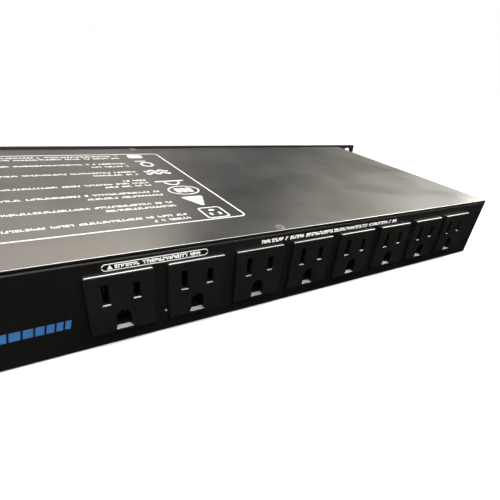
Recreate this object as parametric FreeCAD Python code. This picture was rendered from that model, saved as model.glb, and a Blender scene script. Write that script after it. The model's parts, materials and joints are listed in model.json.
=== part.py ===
"""Rack power strip, one rack unit high: eight outlets on the rear, one on the front, in a folded steel case.

Millimetres. X runs along the rack width, to the right as seen from the front. Y runs from the front panel to
the rear outlets, and Z is up. The origin is under the middle of the whole object, where it stands.
While it is built, y = 0 is the back face of the front panel. The last step moves everything to the origin.
"""
import FreeCAD, Part
import math
import os
from FreeCAD import Vector

# ---- driving dimensions ----------------------------------------------------------------------------------
RACK_WIDTH = 482.6            # over the ears
RACK_HOLES_X = 465.1          # between the ear slots, side to side
RACK_HOLES_Z = 31.75          # between the ear slots, top to bottom
PANEL_HEIGHT = 44.0
PANEL = 2.5                   # thickness of the front panel
CASE_WIDTH = 438.0
CASE_DEPTH = 166.0            # back of the front panel to the rear face
CASE_HEIGHT = 42.6
SHEET = 1.2                   # thickness of the folded steel
BEND = 1.5                    # outside radius of a fold
GAP = 0.3                     # assembly gap between folded pieces

EAR_SLOT_WIDTH = 6.8
EAR_SLOT_LENGTH = 10.0

OUTLET_COUNT = 8
OUTLET_PITCH = 34.4
OUTLET_MARGIN = 20.3          # end of the case to the flange of the last outlet
FLANGE_WIDTH = 28.3
FLANGE_HEIGHT = 28.4
FLANGE_TOP = 35.5             # height of the top of an outlet flange
FLANGE = 2.0                  # how far a flange stands proud
OUTLET_BODY_WIDTH = 24.0
OUTLET_BODY_HEIGHT = 25.4
OUTLET_BODY_DEPTH = 14.0
OUTLET_CAP = 4.0
BLADE_OFFSET = 6.35           # centre line to each blade slot
BLADE_Z = 5.0                 # flange centre to the blade slots
GROUND_Z = -6.9               # flange centre to the ground pin
SLOT_WIDTH = 2.7
NEUTRAL_SLOT = 8.9
LINE_SLOT = 6.9
GROUND_RADIUS = 3.1
GROUND_FLAT = 4.4             # ground pin axis to the flat floor of its hole
MOUTH_BEVEL = 0.42            # round every opening of an outlet
LEDGE = 1.3                   # the deeper bevel under the ground hole
LEDGE_WIDTH = 7.2
LEAF = 0.6                    # thickness of a contact's spring leaves
CONTACT_BACK = -12.6          # the leaves, from an outlet's panel face
BLADE_LEAF_FRONT = -5.0
GROUND_LEAF_FRONT = -5.6
TAB_WIDTH = 6.3               # push-on terminal tabs
TAB = 0.8
TAB_END = 26.0                # panel face to the end of an outlet's tabs
SLEEVE_COVERS = 7.5           # length of a tab inside its push-on connector
SLEEVE_PAST = 1.5             # how far the connector runs past the tab's end

INLET_X = 170.0
BREAKER_X = 126.0
FRONT_OUTLET_X = 118.0
INDICATOR_X = 150.0
SWITCH_X = 184.0
MIDDLE_Z = PANEL_HEIGHT / 2

WIRE = 1.7                    # radius of an insulated conductor
BUS_Y = CASE_DEPTH - 33.0     # the harness behind the rear outlets
LINE_BUS_Z, NEUTRAL_BUS_Z, GROUND_BUS_Z = 31.0, 20.5, 8.5

ROCKER_TILT = 9.0             # each side of level, in degrees
ROCKER_PIVOT_Y = 2.0          # behind the back face of the front panel

BOARD_X0, BOARD_X1 = 74.0, 190.0
BOARD_Y0, BOARD_Y1 = 44.0, 112.0
BOARD_Z = 8.0
BOARD = 1.6
SPIGOT = 2.1                  # foot of a standoff, pressed through the floor

TOP_SCREW_EDGE = 3.6          # cover screws to the front or rear face
TOP_SCREWS = [(x, CASE_DEPTH - TOP_SCREW_EDGE) for x in (-204.0, -26.3, 204.0)] + [(-6.3, TOP_SCREW_EDGE)]
SIDE_SCREW_Y = [32.0, CASE_DEPTH - 32.0]
SIDE_SCREW_Z = 8.5
PANEL_SCREWS = [(x, z) for x in (-206.0, 206.0) for z in (9.0, 35.0)]
SCREW = 1.45                  # radius of an M3 shank
SCREW_HEAD = 2.6
RECESS = 3.0                  # length of each arm of a cross recess
RECESS_WIDTH = 0.64
EARTH_STUD = (205.0, 120.0)

OUTLET_Z = FLANGE_TOP - FLANGE_HEIGHT / 2
SLEEVE_END = CASE_DEPTH - TAB_END - SLEEVE_PAST
REAR_OUTLETS = [
    -CASE_WIDTH / 2 + OUTLET_MARGIN + FLANGE_WIDTH / 2 + OUTLET_PITCH * (OUTLET_COUNT - 1 - i)
    for i in range(OUTLET_COUNT)
]
BUS_END_X = REAR_OUTLETS[0] + 18.0


# ---- small tools -----------------------------------------------------------------------------------------
def block(x0, x1, y0, y1, z0, z1):
    return Part.makeBox(x1 - x0, y1 - y0, z1 - z0, Vector(x0, y0, z0))


def rod(radius, start, end):
    a, b = Vector(*start), Vector(*end)
    return Part.makeCylinder(radius, (b - a).Length, a, b - a)


def cone(radius_start, radius_end, start, end):
    a, b = Vector(*start), Vector(*end)
    return Part.makeCone(radius_start, radius_end, (b - a).Length, a, b - a)


def fuse(shapes):
    whole = shapes[0].multiFuse(shapes[1:]) if len(shapes) > 1 else shapes[0]
    return whole.removeSplitter()


def cut(shape, tools):
    return shape.cut(Part.makeCompound(tools)).removeSplitter()


def group(shapes):
    return Part.makeCompound(shapes)


def prism(points, direction):
    """A flat outline of 3-D points, pushed along a direction."""
    outline = Part.makePolygon([Vector(*p) for p in points + points[:1]])
    return Part.Face(outline).extrude(Vector(*direction))


def edges_where(shape, test):
    return [e for e in shape.Edges if test(e)]


def runs_along(edge, axis):
    """True for a straight edge along 'x', 'y' or 'z'."""
    if edge.Curve.TypeId != "Part::GeomLine":
        return False
    d = edge.tangentAt(edge.FirstParameter)
    return abs(getattr(d, axis)) > 0.999


def mid(edge):
    return edge.CenterOfMass


def turned(shape, centre, axis, degrees):
    copy = shape.copy()
    copy.rotate(Vector(*centre), Vector(*axis), degrees)
    return copy


def moved(shape, x, y, z):
    copy = shape.copy()
    copy.translate(Vector(x, y, z))
    return copy


def cross_recess(floor, way):
    """Two crossed bars that start at the floor of a screw's recess and run out past its head."""
    side = way.cross(Vector(0.37, 0.82, 0.43)).normalize()
    bars = []
    for arm in (side, way.cross(side)):
        across = way.cross(arm)
        corners = [floor + arm * (a * RECESS / 2) + across * (b * RECESS_WIDTH / 2)
                   for a, b in ((-1, -1), (1, -1), (1, 1), (-1, 1))]
        bars.append(prism([tuple(c) for c in corners], tuple(way * 3)))
    return bars


def countersunk_screw(tip, head, head_radius=SCREW_HEAD):
    """A flat-head screw from its tip to the face of its head, with a cross recess."""
    tip, head = Vector(*tip), Vector(*head)
    way = (head - tip).normalize()
    sink = head_radius - SCREW
    neck = head - way * sink
    shape = fuse([
        Part.makeCylinder(SCREW, (neck - tip).Length, tip, way),
        Part.makeCone(SCREW, head_radius, sink, neck, way),
    ])
    return cut(shape, cross_recess(head - way * 0.45, way))


def pan_screw(tip, seat, head_radius=2.8, head=1.9):
    """A screw with a domed head that sits on its seat, with a cross recess."""
    tip, seat = Vector(*tip), Vector(*seat)
    way = (seat - tip).normalize()
    cap = Part.makeCylinder(head_radius, head, seat, way)
    rim = edges_where(cap, lambda e: e.Closed and (mid(e) - seat).Length > head * 0.6)
    cap = cap.makeFillet(head * 0.55, rim)
    shape = fuse([Part.makeCylinder(SCREW, (seat - tip).Length, tip, way), cap])
    return cut(shape, cross_recess(seat + way * (head * 0.45), way))


def hex_nut(centre, axis, across_flats, height, bore):
    """A nut that starts at centre and rises along axis."""
    base, way = Vector(*centre), Vector(*axis)
    side = way.cross(Vector(0, 0, 1))
    if side.Length < 0.1:
        side = Vector(1, 0, 0)
    side.normalize()
    other = way.cross(side)
    reach = across_flats / math.sqrt(3)
    corners = [base + side * (reach * math.cos(math.radians(60 * k)))
               + other * (reach * math.sin(math.radians(60 * k))) for k in range(6)]
    return cut(prism([tuple(c) for c in corners], tuple(way * height)),
               [Part.makeCylinder(bore, height + 2, base - way, way)])


def wire_run(points, bend, radius=WIRE):
    """A round conductor: straight runs joined by tangent arcs of one bend radius."""
    pts = [Vector(*p) for p in points]
    edges, start = [], pts[0]
    for before, here, after in zip(pts, pts[1:], pts[2:]):
        a, b = (before - here).normalize(), (after - here).normalize()
        half = a.getAngle(b) / 2
        back = bend / math.tan(half)
        arc_start, arc_end = here + a * back, here + b * back
        centre = here + (a + b).normalize() * (bend / math.sin(half))
        arc_mid = centre + (here - centre).normalize() * bend
        edges.append(Part.LineSegment(start, arc_start).toShape())
        edges.append(Part.Arc(arc_start, arc_mid, arc_end).toShape())
        start = arc_end
    edges.append(Part.LineSegment(start, pts[-1]).toShape())
    path = Part.Wire(edges)
    ring = Part.Wire([Part.Circle(pts[0], pts[1] - pts[0], radius).toShape()])
    return path.makePipeShell([ring], True, False)


def push_on(tab_end, way, wide):
    """The insulated connector over a tab: the tab's end, the way it points and the way it is wide."""
    end, way, wide = Vector(*tab_end), Vector(*way), Vector(*wide)
    thick = way.cross(wide)

    def box(half_wide, half_thick, back, front):
        corners = [end - way * back + wide * a + thick * b for a, b in
                   ((-half_wide, -half_thick), (half_wide, -half_thick),
                    (half_wide, half_thick), (-half_wide, half_thick))]
        return prism([tuple(c) for c in corners], tuple(way * (back + front)))

    sleeve = box(4.2, 2.0, SLEEVE_COVERS, SLEEVE_PAST)
    sleeve = sleeve.makeFillet(1.0, edges_where(
        sleeve, lambda e: abs(e.tangentAt(e.FirstParameter).dot(way)) > 0.999))
    return sleeve.cut(box(TAB_WIDTH / 2 + 0.05, TAB / 2 + 0.05, SLEEVE_COVERS + 1, 0.02))


# ---- case ------------------------------------------------------------------------------------------------
def folded_channel(x0, x1, y0, y1, z0, z1, axis):
    """A square tube of sheet steel along 'x' or 'y' with rounded folds, to be cut open."""
    outer = block(x0, x1, y0, y1, z0, z1)
    outer = outer.makeFillet(BEND, edges_where(outer, lambda e: runs_along(e, axis)))
    if axis == "x":
        inner = block(x0 - 1, x1 + 1, y0 + SHEET, y1 - SHEET, z0 + SHEET, z1 - SHEET)
    else:
        inner = block(x0 + SHEET, x1 - SHEET, y0 - 1, y1 + 1, z0 + SHEET, z1 - SHEET)
    inner = inner.makeFillet(BEND - SHEET, edges_where(inner, lambda e: runs_along(e, axis)))
    return outer.cut(inner)


def make_base_tray():
    """Floor, front wall and rear wall with their top lips, and low side lips for the cover screws."""
    half = CASE_WIDTH / 2 - SHEET - GAP
    top = CASE_HEIGHT - SHEET
    lip = 11.0
    tray = folded_channel(-half, half, 0, CASE_DEPTH, 0, top, "x")
    tray = tray.cut(block(-half - 1, half + 1, lip, CASE_DEPTH - lip, SHEET + 5, top + 1))
    side_lips = [
        block(min(side * (half - SHEET), side * half), max(side * (half - SHEET), side * half),
              SHEET + 3, CASE_DEPTH - SHEET - 3, SHEET / 2, 14.0)
        for side in (-1, 1)
    ]
    tray = fuse([tray] + side_lips)
    holes = []
    for x in REAR_OUTLETS:
        holes.append(outlet_cutout(x, CASE_DEPTH - SHEET - 1, CASE_DEPTH + 1))
    holes.append(outlet_cutout(FRONT_OUTLET_X, -1, SHEET + 1))
    holes.append(block(INLET_X - 13.8, INLET_X + 13.8, CASE_DEPTH - 4, CASE_DEPTH + 1,
                       MIDDLE_Z - 10.0, MIDDLE_Z + 10.0))
    for side in (-1, 1):
        holes.append(rod(1.7, (INLET_X + side * 20, CASE_DEPTH - 4, MIDDLE_Z),
                         (INLET_X + side * 20, CASE_DEPTH + 1, MIDDLE_Z)))
    holes.append(rod(5.0, (BREAKER_X, CASE_DEPTH - 4, MIDDLE_Z), (BREAKER_X, CASE_DEPTH + 1, MIDDLE_Z)))
    holes.append(block(SWITCH_X - 9.6, SWITCH_X + 9.6, -1, SHEET + 1, MIDDLE_Z - 14.2, MIDDLE_Z + 14.2))
    for z in (MIDDLE_Z - 7, MIDDLE_Z + 7):
        holes.append(rod(4.1, (INDICATOR_X, -1, z), (INDICATOR_X, SHEET + 1, z)))
    for x, y in TOP_SCREWS:
        holes.append(rod(SCREW + 0.05, (x, y, top - 3), (x, y, top + 1)))
    for side in (-1, 1):
        for y in SIDE_SCREW_Y:
            holes.append(rod(SCREW + 0.05, (side * (half - 3), y, SIDE_SCREW_Z),
                             (side * (half + 2), y, SIDE_SCREW_Z)))
    for x, z in PANEL_SCREWS:
        holes.append(rod(SCREW + 0.05, (x, -1, z), (x, SHEET + 1, z)))
    for x, y in board_corners():
        holes.append(rod(SPIGOT, (x, y, -1), (x, y, SHEET + 1)))
    holes.append(rod(2.05, (*EARTH_STUD, -1), (*EARTH_STUD, SHEET + 1)))
    return cut(tray, holes)


def make_top_cover():
    """Top sheet folded down over both sides. Its rear edge is flush with the rear wall."""
    half = CASE_WIDTH / 2
    cover = folded_channel(-half, half, GAP, CASE_DEPTH, 0.6 - 10, CASE_HEIGHT, "y")
    cover = cover.cut(block(-half - 1, half + 1, -1, CASE_DEPTH + 1, -20, 0.6))
    edge = edges_where(cover, lambda e: runs_along(e, "x") and abs(mid(e).z - CASE_HEIGHT) < 0.01
                       and abs(mid(e).y - CASE_DEPTH) < 0.01)
    cover = cover.makeFillet(0.4, edge)
    holes = []
    for x, y in TOP_SCREWS:
        sink = SCREW_HEAD - SCREW
        holes.append(rod(SCREW + 0.1, (x, y, CASE_HEIGHT - 3), (x, y, CASE_HEIGHT + 1)))
        holes.append(cone(SCREW + 0.1, SCREW_HEAD + 0.1, (x, y, CASE_HEIGHT - sink), (x, y, CASE_HEIGHT)))
    for side in (-1, 1):
        for y in SIDE_SCREW_Y:
            holes.append(rod(SCREW + 0.15, (side * (half - 3), y, SIDE_SCREW_Z),
                             (side * (half + 1), y, SIDE_SCREW_Z)))
    return cut(cover, holes)


def ear_slot(x, z):
    """An oblong rack slot right through the front panel."""
    reach = (EAR_SLOT_LENGTH - EAR_SLOT_WIDTH) / 2
    radius = EAR_SLOT_WIDTH / 2
    ends = [rod(radius, (x + side * reach, -PANEL - 1, z), (x + side * reach, 1, z)) for side in (-1, 1)]
    return fuse(ends + [block(x - reach, x + reach, -PANEL - 1, 1, z - radius, z + radius)])


def make_front_panel():
    """Flat plate with two rack ears, rounded corners and a softened front edge."""
    half = RACK_WIDTH / 2
    plate = block(-half, half, -PANEL, 0, 0, PANEL_HEIGHT)
    plate = plate.makeFillet(1.5, edges_where(plate, lambda e: runs_along(e, "y")))
    plate = plate.makeChamfer(0.4, edges_where(plate, lambda e: abs(mid(e).y + PANEL) < 0.01))
    holes = [ear_slot(sx * RACK_HOLES_X / 2, MIDDLE_Z + sz * RACK_HOLES_Z / 2)
             for sx in (-1, 1) for sz in (-1, 1)]
    holes.append(outlet_cutout(FRONT_OUTLET_X, -PANEL - 1, 1))
    holes.append(block(SWITCH_X - 9.6, SWITCH_X + 9.6, -PANEL - 1, 1, MIDDLE_Z - 14.2, MIDDLE_Z + 14.2))
    for z in (MIDDLE_Z - 7, MIDDLE_Z + 7):
        holes.append(rod(3.6, (INDICATOR_X, -PANEL - 1, z), (INDICATOR_X, 1, z)))
    for x, z in PANEL_SCREWS:
        sink = SCREW_HEAD - SCREW
        holes.append(rod(SCREW + 0.1, (x, -PANEL - 1, z), (x, 1, z)))
        holes.append(cone(SCREW + 0.1, SCREW_HEAD + 0.1, (x, -PANEL + sink, z), (x, -PANEL, z)))
    return cut(plate, holes)


def make_case():
    top = CASE_HEIGHT
    half = CASE_WIDTH / 2
    return {
        "base_tray": make_base_tray(),
        "top_cover": make_top_cover(),
        "front_panel": make_front_panel(),
        "top_cover_screws": group([countersunk_screw((x, y, top - 6), (x, y, top - 0.05))
                                   for x, y in TOP_SCREWS]),
        "side_screws": group([pan_screw((side * (half - 6), y, SIDE_SCREW_Z), (side * half, y, SIDE_SCREW_Z))
                              for side in (-1, 1) for y in SIDE_SCREW_Y]),
        "front_panel_screws": group([countersunk_screw((x, 6, z), (x, -PANEL + 0.05, z))
                                     for x, z in PANEL_SCREWS]),
    }


# ---- outlets ---------------------------------------------------------------------------------------------
def outlet_cutout(x, y0, y1):
    """The square hole that an outlet snaps into."""
    w, h = OUTLET_BODY_WIDTH / 2 + 0.15, OUTLET_BODY_HEIGHT / 2 + 0.15
    return block(x - w, x + w, y0, y1, OUTLET_Z - h, OUTLET_Z + h)


def ground_opening(y0, y1):
    """Round on top with a flat floor, as a grounding pin needs."""
    arch = rod(GROUND_RADIUS, (0, y0, GROUND_Z), (0, y1, GROUND_Z))
    foot = block(-GROUND_RADIUS, GROUND_RADIUS, y0, y1, GROUND_Z - GROUND_FLAT, GROUND_Z)
    trimmed = arch.cut(block(-9, 9, y0 - 1, y1 + 1, GROUND_Z - 9, GROUND_Z - GROUND_FLAT))
    return fuse([trimmed, foot])


def outlet_housing(wall):
    """Flange and body of one outlet. Local axes: y = 0 is the panel's outer face and +y points out of it."""
    flange = block(-FLANGE_WIDTH / 2, FLANGE_WIDTH / 2, 0, FLANGE, -FLANGE_HEIGHT / 2, FLANGE_HEIGHT / 2)
    flange = flange.makeFillet(1.0, edges_where(flange, lambda e: runs_along(e, "y")))
    flange = flange.makeFillet(0.8, edges_where(flange, lambda e: abs(mid(e).y - FLANGE) < 0.01))
    w, h = OUTLET_BODY_WIDTH / 2, OUTLET_BODY_HEIGHT / 2
    body = block(-w, w, -OUTLET_BODY_DEPTH, 0, -h, h)
    lugs = []
    for side in (-1, 1):
        back = -wall - 0.15
        lugs.append(prism([(side * w, back, -3), (side * (w + 1.0), back, -3), (side * w, back - 4.5, -3)],
                          (0, 0, 6)))
    shape = fuse([flange, body] + lugs)
    slots = []
    for x, tall in ((BLADE_OFFSET, NEUTRAL_SLOT), (-BLADE_OFFSET, LINE_SLOT)):
        slots.append(block(x - SLOT_WIDTH / 2, x + SLOT_WIDTH / 2, -3, FLANGE + 1,
                           BLADE_Z - tall / 2, BLADE_Z + tall / 2))
        slots.append(block(x - 2.4, x + 2.4, -OUTLET_BODY_DEPTH - 1, -1, BLADE_Z - 5.3, BLADE_Z + 5.3))
    slots.append(ground_opening(-3, FLANGE + 1))
    slots.append(block(-4.2, 4.2, -OUTLET_BODY_DEPTH - 1, -1.5, GROUND_Z - 4.3, GROUND_Z + 4.4))
    shape = cut(shape, slots)
    mouths = edges_where(shape, lambda e: abs(mid(e).y - FLANGE) < 0.01 and abs(mid(e).x) < 9
                         and abs(mid(e).z) < 12)
    shape = shape.makeChamfer(MOUTH_BEVEL, mouths)
    sill = GROUND_Z - GROUND_FLAT
    ledge = prism([(-LEDGE_WIDTH / 2, FLANGE - LEDGE, sill), (-LEDGE_WIDTH / 2, FLANGE + 1, sill - LEDGE - 1),
                   (-LEDGE_WIDTH / 2, FLANGE + 1, sill)], (LEDGE_WIDTH, 0, 0))
    return cut(shape, [ledge])


def outlet_back():
    """The cap that closes the body behind the contacts, with a slit for each tab."""
    w, h = OUTLET_BODY_WIDTH / 2, OUTLET_BODY_HEIGHT / 2
    cap = block(-w, w, -OUTLET_BODY_DEPTH - OUTLET_CAP, -OUTLET_BODY_DEPTH, -h, h)
    slits = [block(x - 0.6, x + 0.6, -30, 0, z - 3.4, z + 3.4)
             for x, z in ((BLADE_OFFSET, BLADE_Z), (-BLADE_OFFSET, BLADE_Z), (0, GROUND_Z))]
    return cut(cap, slits)


def tab(x, z):
    """The flat push-on terminal behind a contact."""
    return block(x - TAB / 2, x + TAB / 2, -TAB_END, CONTACT_BACK - TAB / 2,
                 z - TAB_WIDTH / 2, z + TAB_WIDTH / 2)


def blade_contact(x):
    """Two spring leaves either side of the blade, a web and a tab."""
    out, half = SLOT_WIDTH / 2, 3.4
    leaves = [block(left, left + LEAF, CONTACT_BACK, BLADE_LEAF_FRONT, BLADE_Z - half, BLADE_Z + half)
              for left in (x - out, x + out - LEAF)]
    web = block(x - out, x + out, CONTACT_BACK - TAB, CONTACT_BACK, BLADE_Z - half, BLADE_Z + half)
    return fuse(leaves + [web, tab(x, BLADE_Z)])


def ground_contact():
    """A channel round the pin, open below, with a web and a tab."""
    out, top, foot = 3.05, GROUND_Z + 3.2, GROUND_Z - 3.1
    sides = [block(left, left + LEAF, CONTACT_BACK, GROUND_LEAF_FRONT, foot, top)
             for left in (-out, out - LEAF)]
    roof = block(-out, out, CONTACT_BACK, GROUND_LEAF_FRONT, top - LEAF, top)
    web = block(-out, out, CONTACT_BACK - TAB, CONTACT_BACK, foot, top)
    return fuse(sides + [roof, web, tab(0, GROUND_Z)])


def rear_place(shape, x):
    return moved(shape, x, CASE_DEPTH, OUTLET_Z)


def front_place(shape):
    return moved(turned(shape, (0, 0, 0), (0, 0, 1), 180), FRONT_OUTLET_X, -PANEL, OUTLET_Z)


def place_on_all(shape):
    return [rear_place(shape, x) for x in REAR_OUTLETS] + [front_place(shape)]


def make_outlets():
    rear_housing, back = outlet_housing(SHEET), outlet_back()
    parts = {}
    for number, x in enumerate(REAR_OUTLETS, start=1):
        parts[f"rear_outlet_{number}_housing"] = rear_place(rear_housing, x)
        parts[f"rear_outlet_{number}_back"] = rear_place(back, x)
    parts["front_outlet_housing"] = front_place(outlet_housing(PANEL + SHEET))
    parts["front_outlet_back"] = front_place(back)
    parts["neutral_contacts"] = group(place_on_all(blade_contact(BLADE_OFFSET)))
    parts["line_contacts"] = group(place_on_all(blade_contact(-BLADE_OFFSET)))
    parts["ground_contacts"] = group(place_on_all(ground_contact()))
    return parts


# ---- harness behind the rear outlets ---------------------------------------------------------------------
def bus_wire(offset, tab_z, bus_z):
    """One conductor along the outlets with a short branch into each push-on connector."""
    branches = []
    for x in REAR_OUTLETS:
        start = (x + offset, SLEEVE_END, OUTLET_Z + tab_z)
        turn = (x + offset, BUS_Y, OUTLET_Z + tab_z)
        branches.append(wire_run([start, turn, (x + offset, BUS_Y, bus_z)], 2.2, WIRE * 0.8))
    first = REAR_OUTLETS[-1] + offset
    trunk = rod(WIRE, (first, BUS_Y, bus_z), (BUS_END_X, BUS_Y, bus_z))
    return fuse([trunk, Part.makeSphere(WIRE, Vector(first, BUS_Y, bus_z))] + branches)


def make_harness():
    return {
        "line_bus_wire": bus_wire(-BLADE_OFFSET, BLADE_Z, LINE_BUS_Z),
        "neutral_bus_wire": bus_wire(BLADE_OFFSET, BLADE_Z, NEUTRAL_BUS_Z),
        "ground_bus_wire": bus_wire(0, GROUND_Z, GROUND_BUS_Z),
    }


# ---- power inlet -----------------------------------------------------------------------------------------
INLET_FLANGE = 3.0
INLET_TAB_END = CASE_DEPTH - 30.0
INLET_PINS = [(-7.0, -2.0), (7.0, -2.0), (0.0, 2.0)]


def inlet_outline(w, h, corner):
    """Half width, half height and the size of the two cut corners on top."""
    return [(-w, -h), (w, -h), (w, h - corner), (w - corner, h), (-w + corner, h), (-w, h - corner)]


def make_inlet():
    """Three-pin appliance inlet with a screwed flange. Its cavity takes a line socket."""
    face = CASE_DEPTH + INLET_FLANGE
    flange = block(INLET_X - 25, INLET_X + 25, CASE_DEPTH, face, MIDDLE_Z - 11.3, MIDDLE_Z + 11.3)
    flange = flange.makeFillet(5.0, edges_where(flange, lambda e: runs_along(e, "y")))
    flange = flange.makeFillet(0.6, edges_where(flange, lambda e: abs(mid(e).y - face) < 0.01))
    body = block(INLET_X - 13.5, INLET_X + 13.5, CASE_DEPTH - 21, CASE_DEPTH + 0.5,
                 MIDDLE_Z - 9.7, MIDDLE_Z + 9.7)
    outline = [(INLET_X + x, CASE_DEPTH - 16, MIDDLE_Z + z) for x, z in inlet_outline(11.9, 8.1, 3.6)]
    holes = [prism(outline, (0, 16 + INLET_FLANGE + 1, 0))]
    for x, z in INLET_PINS:
        holes.append(block(INLET_X + x - 1.05, INLET_X + x + 1.05, CASE_DEPTH - 18, CASE_DEPTH - 10,
                           MIDDLE_Z + z - 2.05, MIDDLE_Z + z + 2.05))
        holes.append(block(INLET_X + x - 0.45, INLET_X + x + 0.45, CASE_DEPTH - 25, CASE_DEPTH - 10,
                           MIDDLE_Z + z - 3.2, MIDDLE_Z + z + 3.2))
    for side in (-1, 1):
        x = INLET_X + side * 20
        holes.append(rod(SCREW + 0.15, (x, CASE_DEPTH - 5, MIDDLE_Z), (x, face + 1, MIDDLE_Z)))
        holes.append(cone(SCREW + 0.15, SCREW_HEAD + 0.1, (x, face - 1.5, MIDDLE_Z), (x, face, MIDDLE_Z)))
    housing = cut(fuse([flange, body]), holes)
    pins, nuts, screws = [], [], []
    for x, z in INLET_PINS:
        reach = CASE_DEPTH - (1.3 if x == 0 else 2.5)
        pin = block(INLET_X + x - 1, INLET_X + x + 1, CASE_DEPTH - 18, reach,
                    MIDDLE_Z + z - 2, MIDDLE_Z + z + 2)
        pin = pin.makeChamfer(0.5, edges_where(pin, lambda e: abs(mid(e).y - reach) < 0.01))
        blade = block(INLET_X + x - TAB / 2, INLET_X + x + TAB / 2, INLET_TAB_END, CASE_DEPTH - 17,
                      MIDDLE_Z + z - TAB_WIDTH / 2, MIDDLE_Z + z + TAB_WIDTH / 2)
        pins.append(fuse([pin, blade]))
    for side in (-1, 1):
        x = INLET_X + side * 20
        screws.append(countersunk_screw((x, CASE_DEPTH - 7, MIDDLE_Z), (x, face - 0.05, MIDDLE_Z)))
        nuts.append(hex_nut((x, CASE_DEPTH - SHEET, MIDDLE_Z), (0, -1, 0), 5.5, 2.4, SCREW + 0.03))
    return {"inlet_housing": housing, "inlet_pins": group(pins),
            "inlet_screws": group(screws), "inlet_nuts": group(nuts)}


# ---- circuit breaker -------------------------------------------------------------------------------------
BUSHING = 4.8
BUSHING_REACH = 6.0
BUTTON = 3.2
BUTTON_REACH = 9.5            # how far the button's face stands off the rear wall when it is in
BREAKER_TAB_END = CASE_DEPTH - SHEET - 38.5


def make_breaker():
    """Push-to-reset breaker: body behind the wall, threaded bushing through it, nut outside and a button."""
    inner = CASE_DEPTH - SHEET
    body = block(BREAKER_X - 7.2, BREAKER_X + 7.2, inner - 30, inner, MIDDLE_Z - 15.5, MIDDLE_Z + 15.5)
    body = body.makeFillet(1.0, edges_where(body, lambda e: runs_along(e, "y")))
    bushing = rod(BUSHING, (BREAKER_X, inner, MIDDLE_Z), (BREAKER_X, CASE_DEPTH + BUSHING_REACH, MIDDLE_Z))
    tabs = [block(BREAKER_X - TAB_WIDTH / 2, BREAKER_X + TAB_WIDTH / 2, BREAKER_TAB_END, inner - 30,
                  MIDDLE_Z + s * 8 - TAB / 2, MIDDLE_Z + s * 8 + TAB / 2) for s in (-1, 1)]
    bore = rod(BUTTON + 0.05, (BREAKER_X, inner - 8, MIDDLE_Z), (BREAKER_X, CASE_DEPTH + 20, MIDDLE_Z))
    button = rod(BUTTON, (BREAKER_X, inner - 6, MIDDLE_Z), (BREAKER_X, CASE_DEPTH + BUTTON_REACH, MIDDLE_Z))
    rim = edges_where(button, lambda e: e.Closed and mid(e).y > CASE_DEPTH + 5)
    nut = hex_nut((BREAKER_X, CASE_DEPTH, MIDDLE_Z), (0, 1, 0), 14.0, 2.6, BUSHING + 0.05)
    return {
        "breaker_body": cut(fuse([body, bushing] + tabs), [bore]),
        "breaker_nut": nut,
        "breaker_button": button.makeFillet(0.6, rim),
    }


# ---- rocker switch ---------------------------------------------------------------------------------------
ROCKER_WIDTH = 14.6
PIVOT_RADIUS = 1.4
SWITCH_TAB_END = 27.0


def make_switch():
    """Lit rocker in a snap-in bezel. The rocker rests off, with its top edge out."""
    front = -PANEL
    bezel = block(SWITCH_X - 11, SWITCH_X + 11, front - 2.0, front, MIDDLE_Z - 15.8, MIDDLE_Z + 15.8)
    bezel = bezel.makeFillet(1.5, edges_where(bezel, lambda e: runs_along(e, "y")))
    bezel = bezel.makeFillet(0.7, edges_where(bezel, lambda e: abs(mid(e).y - front + 2) < 0.01))
    body = block(SWITCH_X - 9.4, SWITCH_X + 9.4, front, 18, MIDDLE_Z - 14.0, MIDDLE_Z + 14.0)
    well = block(SWITCH_X - 7.6, SWITCH_X + 7.6, front - 5, 13, MIDDLE_Z - 13.0, MIDDLE_Z + 13.0)
    pivot_hole = rod(PIVOT_RADIUS + 0.06, (SWITCH_X - 8.8, ROCKER_PIVOT_Y, MIDDLE_Z),
                     (SWITCH_X + 8.8, ROCKER_PIVOT_Y, MIDDLE_Z))
    tab_slits = [block(SWITCH_X + sx * 5 - 0.45, SWITCH_X + sx * 5 + 0.45, 10, 20,
                       MIDDLE_Z + sz * 8 - 3.2, MIDDLE_Z + sz * 8 + 3.2) for sx in (-1, 1) for sz in (-1, 1)]
    housing = cut(fuse([bezel, body]), [well, pivot_hole] + tab_slits)
    half = ROCKER_WIDTH / 2
    side_view = [(-5.6, 11.4), (-3.4, 0), (-5.6, -11.4), (2.6, -10.6), (6.0, -3.0), (6.0, 3.0), (2.6, 10.6)]
    slab = prism([(SWITCH_X - half, y, MIDDLE_Z + z) for y, z in side_view], (ROCKER_WIDTH, 0, 0))
    slab = slab.makeFillet(0.8, edges_where(slab, lambda e: runs_along(e, "x") and mid(e).y < -5))
    pivot = rod(PIVOT_RADIUS, (SWITCH_X - 8.6, ROCKER_PIVOT_Y, MIDDLE_Z),
                (SWITCH_X + 8.6, ROCKER_PIVOT_Y, MIDDLE_Z))
    rocker = turned(fuse([slab, pivot]), (SWITCH_X, ROCKER_PIVOT_Y, MIDDLE_Z), (1, 0, 0), ROCKER_TILT)
    terminals = [block(SWITCH_X + sx * 5 - 0.4, SWITCH_X + sx * 5 + 0.4, 14, SWITCH_TAB_END,
                       MIDDLE_Z + sz * 8 - 3.15, MIDDLE_Z + sz * 8 + 3.15) for sx in (-1, 1) for sz in (-1, 1)]
    lamp = rod(1.6, (SWITCH_X - 4.5, 10.8, MIDDLE_Z), (SWITCH_X + 4.5, 10.8, MIDDLE_Z))
    return {
        "switch_housing": housing,
        "power_rocker": rocker,
        "switch_terminals": group(terminals),
        "switch_lamp": lamp.makeFillet(1.2, edges_where(lamp, lambda e: e.Closed)),
    }


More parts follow.
